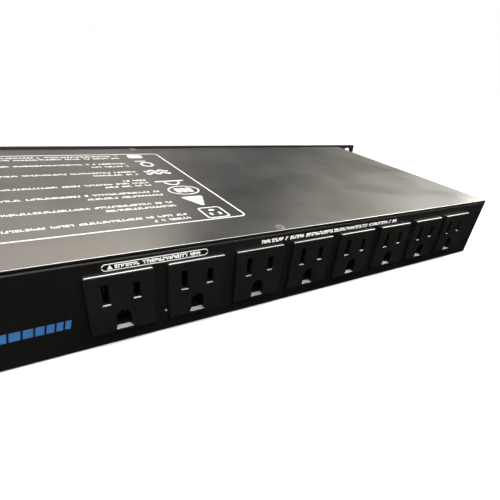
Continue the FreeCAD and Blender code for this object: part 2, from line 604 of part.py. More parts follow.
def make_indicators():
    """Two domed lenses in round bezels beside the switch."""
    bezels, lenses = [], []
    for z in (MIDDLE_Z - 7, MIDDLE_Z + 7):
        rim = rod(4.6, (INDICATOR_X, -PANEL - 1.2, z), (INDICATOR_X, -PANEL, z))
        rim = rim.makeFillet(0.7, edges_where(rim, lambda e: e.Closed and mid(e).y < -PANEL - 1))
        barrel = rod(3.5, (INDICATOR_X, -PANEL, z), (INDICATOR_X, 6, z))
        bore = rod(2.55, (INDICATOR_X, -PANEL - 3, z), (INDICATOR_X, 7, z))
        bezels.append(cut(fuse([rim, barrel]), [bore]))
        dome = Part.makeSphere(2.5, Vector(INDICATOR_X, -PANEL - 0.6, z))
        stem = rod(2.5, (INDICATOR_X, -PANEL - 0.6, z), (INDICATOR_X, 5, z))
        legs = [rod(0.3, (INDICATOR_X + s * 1.27, 5, z), (INDICATOR_X + s * 1.27, 12, z)) for s in (-1, 1)]
        lenses.append(fuse([dome, stem] + legs))
    return {"indicator_bezels": group(bezels), "indicator_lamps": group(lenses)}


# ---- surge and filter board ------------------------------------------------------------------------------
CHOKE_X, CHOKE_Y = BOARD_X0 + 28, BOARD_Y0 + 34
CHOKE_OUTER, CHOKE_INNER, CHOKE_HEIGHT = 15.0, 8.0, 11.0
BOARD_TABS = [(BOARD_X1 - 8, BOARD_Y0 + 12 + 11 * k) for k in range(5)]
BOARD_TAB_TOP = BOARD_Z + BOARD + 9


def board_corners():
    inset = 5.0
    return [(x, y) for x in (BOARD_X0 + inset, BOARD_X1 - inset) for y in (BOARD_Y0 + inset, BOARD_Y1 - inset)]


def choke_winding_turns():
    """Square wire loops round the ring core, in two banks with a gap between them."""
    turns, wire, clear = [], 1.3, 0.15
    deck = BOARD_Z + BOARD
    for bank in (0, 180):
        for k in range(6):
            angle = bank + 35 + k * 22
            loop = block(CHOKE_INNER - clear - wire, CHOKE_OUTER + clear + wire, -wire / 2, wire / 2,
                         deck + 0.2, deck + 0.2 + CHOKE_HEIGHT + 2 * (clear + wire))
            hole = block(CHOKE_INNER - clear, CHOKE_OUTER + clear, -wire, wire,
                         deck + 0.2 + wire, deck + 0.2 + wire + CHOKE_HEIGHT + 2 * clear)
            turn = turned(loop.cut(hole), (0, 0, 0), (0, 0, 1), angle)
            turns.append(moved(turn, CHOKE_X, CHOKE_Y, 0))
    return turns


def make_board():
    deck = BOARD_Z + BOARD
    corners = board_corners()
    board = cut(block(BOARD_X0, BOARD_X1, BOARD_Y0, BOARD_Y1, BOARD_Z, deck),
                [rod(1.7, (x, y, BOARD_Z - 1), (x, y, deck + 1)) for x, y in corners])
    standoffs = [cut(fuse([rod(3.2, (x, y, SHEET), (x, y, BOARD_Z)), rod(SPIGOT, (x, y, 0), (x, y, SHEET))]),
                     [rod(SCREW + 0.03, (x, y, SHEET), (x, y, BOARD_Z + 1))]) for x, y in corners]
    core_z = deck + 1.65
    core_top = core_z + CHOKE_HEIGHT
    core = cut(rod(CHOKE_OUTER, (CHOKE_X, CHOKE_Y, core_z), (CHOKE_X, CHOKE_Y, core_top)),
               [rod(CHOKE_INNER, (CHOKE_X, CHOKE_Y, core_z - 1), (CHOKE_X, CHOKE_Y, core_top + 1))])
    capacitors = []
    for x, y in ((BOARD_X0 + 52, BOARD_Y0 + 14), (BOARD_X0 + 52, BOARD_Y0 + 54)):
        can = block(x, x + 26.5, y - 5, y + 5, deck, deck + 17)
        capacitors.append(can.makeFillet(0.8, edges_where(can, lambda e: runs_along(e, "z"))))
    varistors = []
    for x in (BOARD_X0 + 54, BOARD_X0 + 64, BOARD_X0 + 74):
        disc = rod(9.0, (x, BOARD_Y0 + 34, deck + 11.5), (x + 4.6, BOARD_Y0 + 34, deck + 11.5))
        disc = disc.makeFillet(1.6, edges_where(disc, lambda e: e.Closed))
        legs = [rod(0.45, (x + 2.3, BOARD_Y0 + 34 + s * 4, deck), (x + 2.3, BOARD_Y0 + 34 + s * 4, deck + 6))
                for s in (-1, 1)]
        varistors.append(fuse([disc] + legs))
    tabs = [block(x - TAB_WIDTH / 2, x + TAB_WIDTH / 2, y - TAB / 2, y + TAB / 2, deck, BOARD_TAB_TOP)
            for x, y in BOARD_TABS]
    sheet = cut(block(BOARD_X0 - 4, BOARD_X1 + 4, BOARD_Y0 - 4, BOARD_Y1 + 4, SHEET, SHEET + 0.4),
                [rod(3.6, (x, y, 0), (x, y, 4)) for x, y in corners])
    return {
        "filter_board": board,
        "board_standoffs": group(standoffs),
        "board_screws": group([pan_screw((x, y, BOARD_Z - 4), (x, y, deck)) for x, y in corners]),
        "insulation_sheet": sheet,
        "choke_core": core,
        "choke_windings": group(choke_winding_turns()),
        "capacitors": group(capacitors),
        "varistors": group(varistors),
        "board_tabs": group(tabs),
    }


# ---- internal leads --------------------------------------------------------------------------------------
SWITCH_SLEEVE = SWITCH_TAB_END + SLEEVE_PAST
INLET_SLEEVE = INLET_TAB_END - SLEEVE_PAST
BREAKER_SLEEVE = BREAKER_TAB_END - SLEEVE_PAST
BOARD_SLEEVE = BOARD_TAB_TOP + SLEEVE_PAST
UPPER_Z, LOWER_Z = MIDDLE_Z + 8, MIDDLE_Z - 8       # rows of switch and breaker terminals
BOARD_TAB_X = BOARD_TABS[0][0]
LUG = 0.8                                           # thickness of a ring terminal
LUG_REACH = 7.0                                     # stud to the barrel of a ring terminal
LUG_BARREL = 2.4
LUG_TOP = 9.0


def line_leads():
    """Inlet to breaker, breaker to switch, switch to board, board to the outlet harness."""
    switch_tab, out_tab = BOARD_TABS[3][1], BOARD_TABS[4][1]
    turn_x = BREAKER_X + 14
    side_x = BOARD_X1 + 7
    return [
        wire_run([(INLET_X - 7, INLET_SLEEVE, MIDDLE_Z - 2), (INLET_X - 7, 127, MIDDLE_Z - 2),
                  (INLET_X - 7, 127, UPPER_Z), (turn_x, 127, UPPER_Z), (turn_x, 118, UPPER_Z),
                  (BREAKER_X, 118, UPPER_Z), (BREAKER_X, BREAKER_SLEEVE, UPPER_Z)], 2.8),
        wire_run([(BREAKER_X, BREAKER_SLEEVE, LOWER_Z), (BREAKER_X, 114.5, LOWER_Z),
                  (side_x + 4, 114.5, LOWER_Z), (side_x + 4, 36, LOWER_Z), (SWITCH_X + 5, 36, LOWER_Z),
                  (SWITCH_X + 5, SWITCH_SLEEVE, LOWER_Z)], 4.0),
        wire_run([(SWITCH_X + 5, SWITCH_SLEEVE, UPPER_Z), (SWITCH_X + 5, 36, UPPER_Z), (side_x, 36, UPPER_Z),
                  (side_x, switch_tab, UPPER_Z), (BOARD_TAB_X, switch_tab, UPPER_Z),
                  (BOARD_TAB_X, switch_tab, BOARD_SLEEVE)], 3.8),
        wire_run([(BUS_END_X, BUS_Y, LINE_BUS_Z), (BUS_END_X + 10, BUS_Y, LINE_BUS_Z),
                  (BUS_END_X + 10, out_tab, LINE_BUS_Z), (BOARD_TAB_X, out_tab, LINE_BUS_Z),
                  (BOARD_TAB_X, out_tab, BOARD_SLEEVE)], 4.5),
    ]


def neutral_leads():
    """Inlet to switch, switch to board, board to the outlet harness."""
    switch_tab, out_tab = BOARD_TABS[0][1], BOARD_TABS[2][1]
    over_z = CASE_HEIGHT - 6.5
    side_x = BOARD_X1 + 4
    drop_x = BUS_END_X + 20
    return [
        wire_run([(INLET_X + 7, INLET_SLEEVE, MIDDLE_Z - 2), (INLET_X + 7, 124, MIDDLE_Z - 2),
                  (side_x, 124, MIDDLE_Z - 2), (side_x, 44, MIDDLE_Z - 2), (SWITCH_X - 5, 44, MIDDLE_Z - 2),
                  (SWITCH_X - 5, 37, MIDDLE_Z - 2), (SWITCH_X - 5, 37, LOWER_Z),
                  (SWITCH_X - 5, SWITCH_SLEEVE, LOWER_Z)], 2.6),
        wire_run([(SWITCH_X - 5, SWITCH_SLEEVE, UPPER_Z), (SWITCH_X - 5, 46, UPPER_Z),
                  (BOARD_TAB_X, switch_tab, UPPER_Z), (BOARD_TAB_X, switch_tab, BOARD_SLEEVE)], 4.0),
        wire_run([(BUS_END_X, BUS_Y, NEUTRAL_BUS_Z), (drop_x, BUS_Y, NEUTRAL_BUS_Z), (drop_x, BUS_Y, over_z),
                  (drop_x, out_tab, over_z), (BOARD_TAB_X, out_tab, over_z),
                  (BOARD_TAB_X, out_tab, BOARD_SLEEVE)], 4.5),
    ]


def ground_leads():
    """Inlet to the earth stud, and the outlet harness to the same stud."""
    x, y = EARTH_STUD
    over_z = MIDDLE_Z + 3
    drop_x = BUS_END_X + 24
    return [
        wire_run([(INLET_X, INLET_SLEEVE, MIDDLE_Z + 2), (INLET_X, y + LUG_REACH, MIDDLE_Z + 2),
                  (x, y + LUG_REACH, MIDDLE_Z + 2), (x, y + LUG_REACH, LUG_TOP)], 4.0),
        wire_run([(BUS_END_X, BUS_Y, GROUND_BUS_Z), (drop_x, BUS_Y, GROUND_BUS_Z), (drop_x, y, GROUND_BUS_Z),
                  (drop_x, y, over_z), (x - LUG_REACH, y, over_z), (x - LUG_REACH, y, LUG_TOP)], 4.0),
    ]


def make_leads():
    across, tall = (1, 0, 0), (0, 0, 1)
    back, forward = (0, -1, 0), (0, 1, 0)
    sleeves = []
    for x, z in ((BLADE_OFFSET, BLADE_Z), (-BLADE_OFFSET, BLADE_Z), (0, GROUND_Z)):
        sleeves += place_on_all(push_on((x, -TAB_END, z), back, tall))
    sleeves += [push_on((INLET_X + x, INLET_TAB_END, MIDDLE_Z + z), back, tall) for x, z in INLET_PINS]
    sleeves += [push_on((BREAKER_X, BREAKER_TAB_END, z), back, across) for z in (LOWER_Z, UPPER_Z)]
    sleeves += [push_on((SWITCH_X + s * 5, SWITCH_TAB_END, z), forward, tall)
                for s in (-1, 1) for z in (LOWER_Z, UPPER_Z)]
    sleeves += [push_on((x, y, BOARD_TAB_TOP), tall, across) for x, y in BOARD_TABS]
    return {
        "tab_sleeves": group(sleeves),
        "line_leads": group(line_leads()),
        "neutral_leads": group(neutral_leads()),
        "ground_leads": group(ground_leads()),
    }


def ring_terminal(x, y, z, away_x, away_y):
    """A flat ring on the stud with its barrel stood up, one reach away."""
    bx, by = x + away_x * LUG_REACH, y + away_y * LUG_REACH
    tongue = block(min(x, bx) - 1.8 * abs(away_y), max(x, bx) + 1.8 * abs(away_y),
                   min(y, by) - 1.8 * abs(away_x), max(y, by) + 1.8 * abs(away_x), z, z + LUG)
    ring = rod(3.9, (x, y, z), (x, y, z + LUG))
    barrel = rod(LUG_BARREL, (bx, by, z), (bx, by, LUG_TOP))
    return cut(fuse([ring, tongue, barrel]), [rod(2.1, (x, y, 0), (x, y, z + 3))])


def make_earth():
    x, y = EARTH_STUD
    return {
        "earth_stud": rod(2.0, (x, y, 0), (x, y, 11.0)),
        "earth_lugs": group([ring_terminal(x, y, SHEET, 0, 1), ring_terminal(x, y, SHEET + LUG, -1, 0)]),
        "earth_nut": hex_nut((x, y, SHEET + 2 * LUG), (0, 0, 1), 7.0, 3.2, 2.05),
    }


# ---- whole object ----------------------------------------------------------------------------------------
def make_all():
    parts = {}
    for make in (make_case, make_outlets, make_harness, make_inlet, make_breaker, make_switch,
                 make_indicators, make_board, make_leads, make_earth):
        parts.update(make())
    box = Part.makeCompound(list(parts.values())).optimalBoundingBox(False)
    shift = -(box.YMin + box.YMax) / 2
    return {name: moved(shape, 0, shift, 0) for name, shape in parts.items()}, shift


def main():
    os.makedirs("parts", exist_ok=True)
    parts, shift = make_all()
    for name, shape in parts.items():
        if not shape.isValid() or not shape.Solids or min(s.Volume for s in shape.Solids) <= 0:
            print("check the solid", name)
        shape.exportStep(os.path.join("parts", name + ".step"))
    box = Part.makeCompound(list(parts.values())).optimalBoundingBox(False)
    print("nodes", len(parts), "front panel's back face at y", round(shift, 3))
    print("box", [round(v, 3) for v in (box.XMin, box.XMax, box.YMin, box.YMax, box.ZMin, box.ZMax)])


main()
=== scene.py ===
"""Looks of the rack power strip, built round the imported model.

The CAD nodes keep their shapes and get their finishes here. The new pieces are the screen print on the cover,
the rear wall and the front panel, the marks on the rocker, the thread of the breaker, and on the filter board
the wound wire of the choke and the solder joints. Lengths are metres unless a name says otherwise. X runs
along the rack width, Y from the front panel to the rear outlets, and Z is up.
"""

import json
import logging
import math
from dataclasses import dataclass, field
from enum import Enum
from typing import ClassVar, Iterable, Optional, Union

import bpy
import numpy as np
from mathutils import Matrix, Vector

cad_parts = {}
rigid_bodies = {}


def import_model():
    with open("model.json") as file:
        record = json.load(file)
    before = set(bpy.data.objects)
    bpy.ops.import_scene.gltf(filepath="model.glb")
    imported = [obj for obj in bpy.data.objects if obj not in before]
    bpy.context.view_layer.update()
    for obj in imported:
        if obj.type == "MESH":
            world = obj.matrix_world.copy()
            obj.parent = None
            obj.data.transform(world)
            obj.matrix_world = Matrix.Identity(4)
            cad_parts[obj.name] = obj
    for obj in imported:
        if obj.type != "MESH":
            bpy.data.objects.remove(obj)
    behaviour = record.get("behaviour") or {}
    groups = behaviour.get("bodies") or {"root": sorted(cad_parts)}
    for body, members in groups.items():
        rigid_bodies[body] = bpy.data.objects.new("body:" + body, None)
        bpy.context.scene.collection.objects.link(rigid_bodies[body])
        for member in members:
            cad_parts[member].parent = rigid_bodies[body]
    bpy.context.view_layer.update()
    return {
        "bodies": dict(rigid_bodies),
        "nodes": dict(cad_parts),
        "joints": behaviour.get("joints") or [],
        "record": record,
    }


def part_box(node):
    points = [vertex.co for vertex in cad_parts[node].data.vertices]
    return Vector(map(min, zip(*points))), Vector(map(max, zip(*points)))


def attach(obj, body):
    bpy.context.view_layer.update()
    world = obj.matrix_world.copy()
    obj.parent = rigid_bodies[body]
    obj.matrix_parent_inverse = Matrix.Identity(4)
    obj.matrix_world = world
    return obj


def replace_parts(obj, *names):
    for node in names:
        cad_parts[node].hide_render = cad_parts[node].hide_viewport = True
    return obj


MM = 0.001
LOG = logging.getLogger("rack_power_strip")

Tree = bpy.types.NodeTree
Output = bpy.types.NodeSocket
Socket = Union[Output, float, tuple]


# ---- colours and nodes ---------------------------------------------------------------------------
def linear(colour: str) -> tuple[float, float, float, float]:
    """Turns an sRGB hex colour to the linear colour that a shader takes.

    Args:
        colour: six hex digits after a hash sign.

    Returns:
        Red, green and blue from 0 to 1 on the linear scale, and an alpha of 1.
    """
    coded = np.array([int(colour[i:i + 2], 16) for i in (1, 3, 5)]) / 255
    straight = np.where(coded <= 0.04045, coded / 12.92, ((coded + 0.055) / 1.055) ** 2.4)
    return (*straight.tolist(), 1.0)


def add_node(tree: Tree, kind: str, inputs: Optional[dict[Union[str, int], Socket]] = None,
             **settings: object) -> bpy.types.Node:
    """Adds one node with its settings and its links.

    Args:
        tree: the material's node tree.
        kind: the node's type name.
        inputs: for each input, by name or place, the output that feeds it or its fixed value.
        **settings: properties of the node itself.

    Returns:
        The new node.
    """
    node = tree.nodes.new(kind)
    for name, value in settings.items():
        setattr(node, name, value)
    for key, value in (inputs or {}).items():
        if isinstance(value, Output):
            tree.links.new(value, node.inputs[key])
        else:
            node.inputs[key].default_value = value
    return node


def per_metre(size_mm: float) -> float:
    """The texture scale whose pattern repeats about every size_mm on coordinates in metres."""
    return 1.0 / (size_mm * MM)


# ---- finishes ------------------------------------------------------------------------------------
class Grain(Enum):
    """How the fine relief of a surface was made."""

    PEEL = "flow of molten powder, soft and wavy"
    SPARK = "spark-eroded mould, fine and even"
    BRUSHED = "drawn along one axis"
    TUMBLED = "tumbled and plated in a barrel"
    FIBRE = "pressed fibre"


@dataclass(frozen=True)
class Finish:
    """A surface finish: its colours, its gloss and its relief, each from a real size.

    The base colour drifts between two near tones in soft patches, and the roughness follows a finer noise.
    """

    name: str
    colour: str
    tone: str
    smooth: float
    rough: float
    grain: Grain = Grain.SPARK
    grain_mm: float = 0.5
    depth_mm: float = 0.01
    drift_mm: float = 25.0
    ior: float = 1.5
    metallic: float = 0.0

    def material(self) -> bpy.types.Material:
        """Builds the material.

        Returns:
            A material whose Principled shader takes its colour, roughness and normal from the patterns.
        """
        material = bpy.data.materials.new(self.name)
        material.use_nodes = True
        tree = material.node_tree
        shader = tree.nodes["Principled BSDF"]
        shader.inputs["Metallic"].default_value = self.metallic
        if not self.metallic:
            shader.inputs["IOR"].default_value = self.ior
        place = add_node(tree, "ShaderNodeTexCoord").outputs["Object"]
        tree.links.new(self.colour_from(tree, place), shader.inputs["Base Color"])
        tree.links.new(self.roughness_from(tree, place), shader.inputs["Roughness"])
        relief = add_node(tree, "ShaderNodeBump", {
            "Height": self.height_from(tree, place), "Strength": 1.0, "Distance": self.depth_mm * MM})
        tree.links.new(relief.outputs["Normal"], shader.inputs["Normal"])
        self.adjust(shader)
        return material

    def colour_from(self, tree: Tree, place: Output) -> Output:
        """Mixes the two tones by a soft noise of the drift size.

        Args:
            tree: the material's node tree.
            place: the coordinates that the pattern is laid on.

        Returns:
            The colour.
        """
        drift = add_node(tree, "ShaderNodeTexNoise", {
            "Vector": place, "Scale": per_metre(self.drift_mm), "Detail": 4.0, "Roughness": 0.6})
        return self.blend(tree, drift.outputs["Fac"], linear(self.colour), linear(self.tone), 0.35, 0.65)

    def roughness_from(self, tree: Tree, place: Output) -> Output:
        """Runs the roughness from smooth to rough over a noise four grains wide.

        Args:
            tree: the material's node tree.
            place: the coordinates that the pattern is laid on.

        Returns:
            The roughness.
        """
        wear = add_node(tree, "ShaderNodeTexNoise", {
            "Vector": place, "Scale": per_metre(self.grain_mm * 4), "Detail": 6.0, "Roughness": 0.65})
        return add_node(tree, "ShaderNodeMapRange", {
            "Value": wear.outputs["Fac"], "From Min": 0.3, "From Max": 0.7,
            "To Min": self.smooth, "To Max": self.rough}).outputs["Result"]

    def height_from(self, tree: Tree, place: Output) -> Output:
        """The relief that the grain stands for, as a height from 0 to 1.

        Args:
            tree: the material's node tree.
            place: the coordinates that the pattern is laid on.

        Returns:
            The height.
        """
        lengthwise = {Grain.BRUSHED: 0.04, Grain.FIBRE: 0.3}.get(self.grain, 1.0)
        drawn = add_node(tree, "ShaderNodeMapping", {"Vector": place, "Scale": (lengthwise, 1.0, 1.0)})
        detail = {Grain.PEEL: 1.5, Grain.TUMBLED: 5.0}.get(self.grain, 3.0)
        return add_node(tree, "ShaderNodeTexNoise", {
            "Vector": drawn.outputs["Vector"], "Scale": per_metre(self.grain_mm),
            "Detail": detail}).outputs["Fac"]

    def adjust(self, shader: bpy.types.Node) -> None:
        """Sets what only some finishes have, such as a coat."""

    @staticmethod
    def blend(tree: Tree, share: Output, first: Socket, second: Socket, start: float = 0.0,
              end: float = 1.0) -> Output:
        """Goes from one colour to another.

        Args:
            tree: the node tree.
            share: the value that drives the blend.
            first: the colour where share is start or less.
            second: the colour where share is end or more.
            start: where the blend begins.
            end: where it is complete.

        Returns:
            The blended colour.
        """
        step = add_node(tree, "ShaderNodeMapRange", {"Value": share, "From Min": start, "From Max": end})
        mix = add_node(tree, "ShaderNodeMix", {0: step.outputs["Result"], 6: first, 7: second},
                       data_type="RGBA")
        return mix.outputs[2]


@dataclass(frozen=True)
class PowderCoat(Finish):
    """Polyester powder baked on steel: a soft orange peel, and a few specks of dust that settled on it."""

    dust: str = "#A5A29B"
    dust_every_mm: float = 14.0
    dust_size: float = 0.036
    dust_above: float = 0.62
    smudge_mm: float = 45.0

    def colour_from(self, tree: Tree, place: Output) -> Output:
        """Lays dust specks over the drifting black: the middle of some cells of a cellular pattern.

        Args:
            tree: the material's node tree.
            place: the coordinates that the pattern is laid on.

        Returns:
            The colour.
        """
        black = Finish.colour_from(self, tree, place)
        cells = add_node(tree, "ShaderNodeTexVoronoi", {
            "Vector": place, "Scale": per_metre(self.dust_every_mm)})
        chosen = add_node(tree, "ShaderNodeMath", {0: cells.outputs["Color"], 1: self.dust_above},
                          operation="GREATER_THAN")
        near = add_node(tree, "ShaderNodeMath", {0: cells.outputs["Distance"], 1: self.dust_size},
                        operation="LESS_THAN")
        speck = add_node(tree, "ShaderNodeMath", {0: chosen.outputs[0], 1: near.outputs[0]},
                         operation="MULTIPLY")
        return self.blend(tree, speck.outputs[0], black, linear(self.dust))

    def roughness_from(self, tree: Tree, place: Output) -> Output:
        """Runs the roughness from smooth to rough in broad smudges, where hands and cloths have been.

        Args:
            tree: the material's node tree.
            place: the coordinates that the pattern is laid on.

        Returns:
            The roughness.
        """
        smudge = add_node(tree, "ShaderNodeTexNoise", {
            "Vector": place, "Scale": per_metre(self.smudge_mm), "Detail": 3.0, "Roughness": 0.5,
            "Distortion": 0.6})
        return add_node(tree, "ShaderNodeMapRange", {
            "Value": smudge.outputs["Fac"], "From Min": 0.35, "From Max": 0.65,
            "To Min": self.smooth, "To Max": self.rough}).outputs["Result"]


@dataclass(frozen=True)
class PrintedInk(Finish):
    """Screen-printed ink: flat, a little thin in places where the mesh left less of it."""

    thin: str = "#B9B7B0"
    mesh_mm: float = 0.8

    def colour_from(self, tree: Tree, place: Output) -> Output:
        """Lets a thinner tone through in small patches.

        Args:
            tree: the material's node tree.
            place: the coordinates that the pattern is laid on.

        Returns:
            The colour.
        """
        full = Finish.colour_from(self, tree, place)
        cover = add_node(tree, "ShaderNodeTexNoise", {
            "Vector": place, "Scale": per_metre(self.mesh_mm), "Detail": 2.0})
        return self.blend(tree, cover.outputs["Fac"], full, linear(self.thin), 0.62, 0.85)


@dataclass(frozen=True)
class Lens(Finish):
    """Tinted acrylic that light passes through, polished by its mould."""

    def adjust(self, shader: bpy.types.Node) -> None:
        """Lets most of the light through."""
        shader.inputs["Transmission Weight"].default_value = 0.55


@dataclass(frozen=True)
class Dipped(Finish):
    """A body dipped in resin, whose skin is a glossy coat over a matt filler."""

    def adjust(self, shader: bpy.types.Node) -> None:
        """Adds the glossy skin."""
        shader.inputs["Coat Weight"].default_value = 0.5
        shader.inputs["Coat Roughness"].default_value = 0.12


@dataclass(frozen=True)
class SolderMask(Finish):
    """Glass-epoxy laminate under green solder mask, with the copper tracks showing as paler stripes."""

    track: str = "#2F7A3C"
    track_every_mm: float = 5.0

    def tracks(self, tree: Tree, place: Output) -> Output:
        """1 on a track and 0 off it: straight bricks of copper, as wide as they are apart.

        Args:
            tree: the material's node tree.
            place: the coordinates that the pattern is laid on.

        Returns:
            The share of copper.
        """
        bricks = add_node(tree, "ShaderNodeTexBrick", {
            "Vector": place, "Scale": per_metre(self.track_every_mm), "Mortar Size": 0.18,
            "Mortar Smooth": 0.1, "Brick Width": 4.6, "Row Height": 1.0})
        return bricks.outputs["Fac"]

    def colour_from(self, tree: Tree, place: Output) -> Output:
        """Shows the copper through the mask."""
        mask = Finish.colour_from(self, tree, place)
        return self.blend(tree, self.tracks(tree, place), linear(self.track), mask)


def extruded_pvc(shade: str, colour: str, tone: str) -> Finish:
    """Wire insulation: soft plastic with a satin skin and fine lines along the wire, left by its die."""
    return Finish(f"{shade}_pvc_insulation", colour, tone, 0.36, 0.46, Grain.BRUSHED, 0.6, 0.015)


# Baked powder: near black, with a satin sheen that spreads each lamp to a broad glow.
BLACK_POWDER = PowderCoat(
    "black_powder_coat", "#080808", "#0D0C0B", 0.29, 0.34, Grain.PEEL, 1.6, 0.006, 60.0)
# The same powder baked flatter, so the panel glows less than the cover.
FRONT_POWDER = PowderCoat(
    "satin_black_powder_coat", "#0B0B0B", "#101010", 0.36, 0.43, Grain.PEEL, 1.1, 0.008, 60.0)
# Nylon from a spark-eroded mould: deep black faces, edges that catch a bright line.
OUTLET_NYLON = Finish("moulded_black_nylon", "#0A0909", "#100E0D", 0.30, 0.37, Grain.SPARK, 0.35, 0.005)
# Nylon filled with glass: greyer and matt, with short fibres in its skin.
CAP_NYLON = Finish("glass_filled_nylon", "#1C1B1A", "#272524", 0.48, 0.6, Grain.FIBRE, 0.4, 0.02)
# Polyamide: an even satin black.
INLET_NYLON = Finish("moulded_black_polyamide", "#0F0F10", "#161617", 0.35, 0.45, Grain.SPARK, 0.4, 0.01)
# Phenolic resin: brownish black, glossier in patches.
PHENOLIC = Finish("moulded_phenolic", "#0C0B0B", "#1A1614", 0.36, 0.5, Grain.SPARK, 0.6, 0.012)
# Nylon from a polished mould: a frame with crisp highlights.
SWITCH_NYLON = Finish("glossy_black_nylon", "#0B0B0C", "#121213", 0.22, 0.32, Grain.SPARK, 0.5, 0.006)
# ABS: warm white and evenly glossy.
BUTTON_ABS = Finish("moulded_white_abs", "#DDDAD0", "#CFCBBF", 0.3, 0.4, Grain.SPARK, 0.4, 0.006, ior=1.54)
# Clear plastics and glass, coloured in the mass: deep tints with small sharp highlights.
ROCKER_RED = Lens(
    "tinted_red_polycarbonate", "#B3120E", "#8E0C0A", 0.16, 0.24, Grain.SPARK, 0.6, 0.004, ior=1.58)
NEON_GLASS = Lens("neon_lamp_glass", "#E8B9A0", "#D99E82", 0.05, 0.1, Grain.SPARK, 2.0, 0.002, ior=1.52)
LENS_GREEN = Lens("tinted_green_acrylic", "#3FC060", "#2E9C4B", 0.08, 0.14, Grain.SPARK, 1.5, 0.003, ior=1.49)
# Turned and blackened: a dark ring with one thin highlight.
BEZEL = Finish("turned_black_bezel", "#101011", "#1A1A1B", 0.2, 0.32, Grain.SPARK, 0.3, 0.006)
# Black oxide: dark steel that still reflects like metal, and paler where a driver has rubbed it.
BLACK_OXIDE = Finish(
    "black_oxide_steel", "#2A2A2C", "#1B1B1D", 0.34, 0.5, Grain.TUMBLED, 0.5, 0.012, 4.0, metallic=1.0)
WORN_OXIDE = Finish(
    "worn_black_oxide_steel", "#8A8883", "#6C6A66", 0.24, 0.36, Grain.TUMBLED, 0.5, 0.008, 4.0, metallic=1.0)
# Zinc: pale and slightly blurred by the barrel it was tumbled in.
ZINC = Finish(
    "bright_zinc_plate", "#B9BCBE", "#A3A7A6", 0.26, 0.42, Grain.TUMBLED, 0.5, 0.01, 3.0, metallic=1.0)
# Nickel: a warm, nearly mirror-bright plate.
NICKEL = Finish(
    "nickel_plated_brass", "#C9C3B4", "#B8B1A0", 0.16, 0.28, Grain.BRUSHED, 0.3, 0.006, 4.0, metallic=1.0)
# Brass as it leaves the press: yellow, with drawn lines.
BRASS = Finish(
    "stamped_brass", "#C8A04E", "#AF8638", 0.24, 0.38, Grain.BRUSHED, 0.3, 0.008, 4.0, metallic=1.0)
# Enamel over copper: a brown wire under a clear gloss.
COPPER = Dipped(
    "enamelled_copper_wire", "#8E3F17", "#A9511F", 0.25, 0.35, Grain.BRUSHED, 0.4, 0.006, 5.0, 1.55)
# Epoxy over ferrite: a dull green, a little lumpy.
FERRITE = Dipped("epoxy_coated_ferrite", "#2B4A39", "#223B2E", 0.4, 0.55, Grain.SPARK, 0.8, 0.03)
# Solder mask: glossy dark green with paler tracks.
LAMINATE = SolderMask("green_solder_mask", "#14502A", "#0F4422", 0.28, 0.36, Grain.BRUSHED, 0.4, 0.01)
# Pressed board: matt grey with a fibrous face.
FISH_PAPER = Finish("grey_fish_paper", "#5D5F5C", "#6B6D69", 0.75, 0.9, Grain.FIBRE, 0.5, 0.03)
# Moulded polyester: strong yellow, half glossy.
CAPACITOR = Finish("moulded_yellow_polyester", "#D9A514", "#C99408", 0.32, 0.42, Grain.SPARK, 0.5, 0.01)
# Dipped epoxy: blue discs whose skin is wavy.
VARISTOR = Dipped("dipped_blue_epoxy", "#1B4FA8", "#17458F", 0.3, 0.45, Grain.PEEL, 1.4, 0.06, 6.0)
# Clear nylon, yellowed by age.
SLEEVE = Finish("clear_yellowed_nylon", "#C9C1A6", "#BDB393", 0.35, 0.45, Grain.SPARK, 0.5, 0.01)
WIRE_BLACK = extruded_pvc("black", "#161617", "#1F1F20")
WIRE_WHITE = extruded_pvc("white", "#D8D6CF", "#CBC8BF")
WIRE_GREEN = extruded_pvc("green", "#1C7A3A", "#18692F")
# Tin solder: bright, with a slight frost.
SOLDER = Finish("tin_solder", "#C2C4C4", "#AFB2B2", 0.16, 0.3, Grain.TUMBLED, 0.8, 0.02, 2.0, metallic=1.0)
# Screen inks: flat and opaque, a little thin in places.
WHITE_INK = PrintedInk("white_screen_ink", "#F1F1ED", "#E6E6E0", 0.45, 0.55, Grain.SPARK, 0.5, 0.004)
BLUE_INK = PrintedInk(
    "blue_screen_ink", "#0C5A96", "#094E84", 0.42, 0.52, Grain.SPARK, 0.5, 0.004, thin="#084573")
# Painted floor: pale, matt, nearly even.
PALE_FLOOR = Finish("pale_painted_floor", "#F4F4F2", "#EFEFEC", 0.65, 0.8, Grain.PEEL, 30.0, 0.02, 900.0)


class Dresser:
    """Gives finishes to CAD nodes and to new pieces, and builds each material only once."""

    def __init__(self, nodes: dict[str, bpy.types.Object]) -> None:
        """Keeps the CAD nodes by name."""
        self.nodes = nodes
        self.made: dict[str, bpy.types.Material] = {}

    def material(self, finish: Finish) -> bpy.types.Material:
        """The material of a finish, built the first time it is asked for."""
        if finish.name not in self.made:
            self.made[finish.name] = finish.material()
        return self.made[finish.name]

    def dress(self, finish: Finish, *names: str) -> None:
        """Assigns a finish to every slot of the named CAD nodes.

        Args:
            finish: the finish they all have.
            *names: names of CAD nodes.
        """
        for name in names:
            for slot in self.nodes[name].material_slots:
                slot.material = self.material(finish)
            LOG.info("dressed %s in %s", name, finish.name)


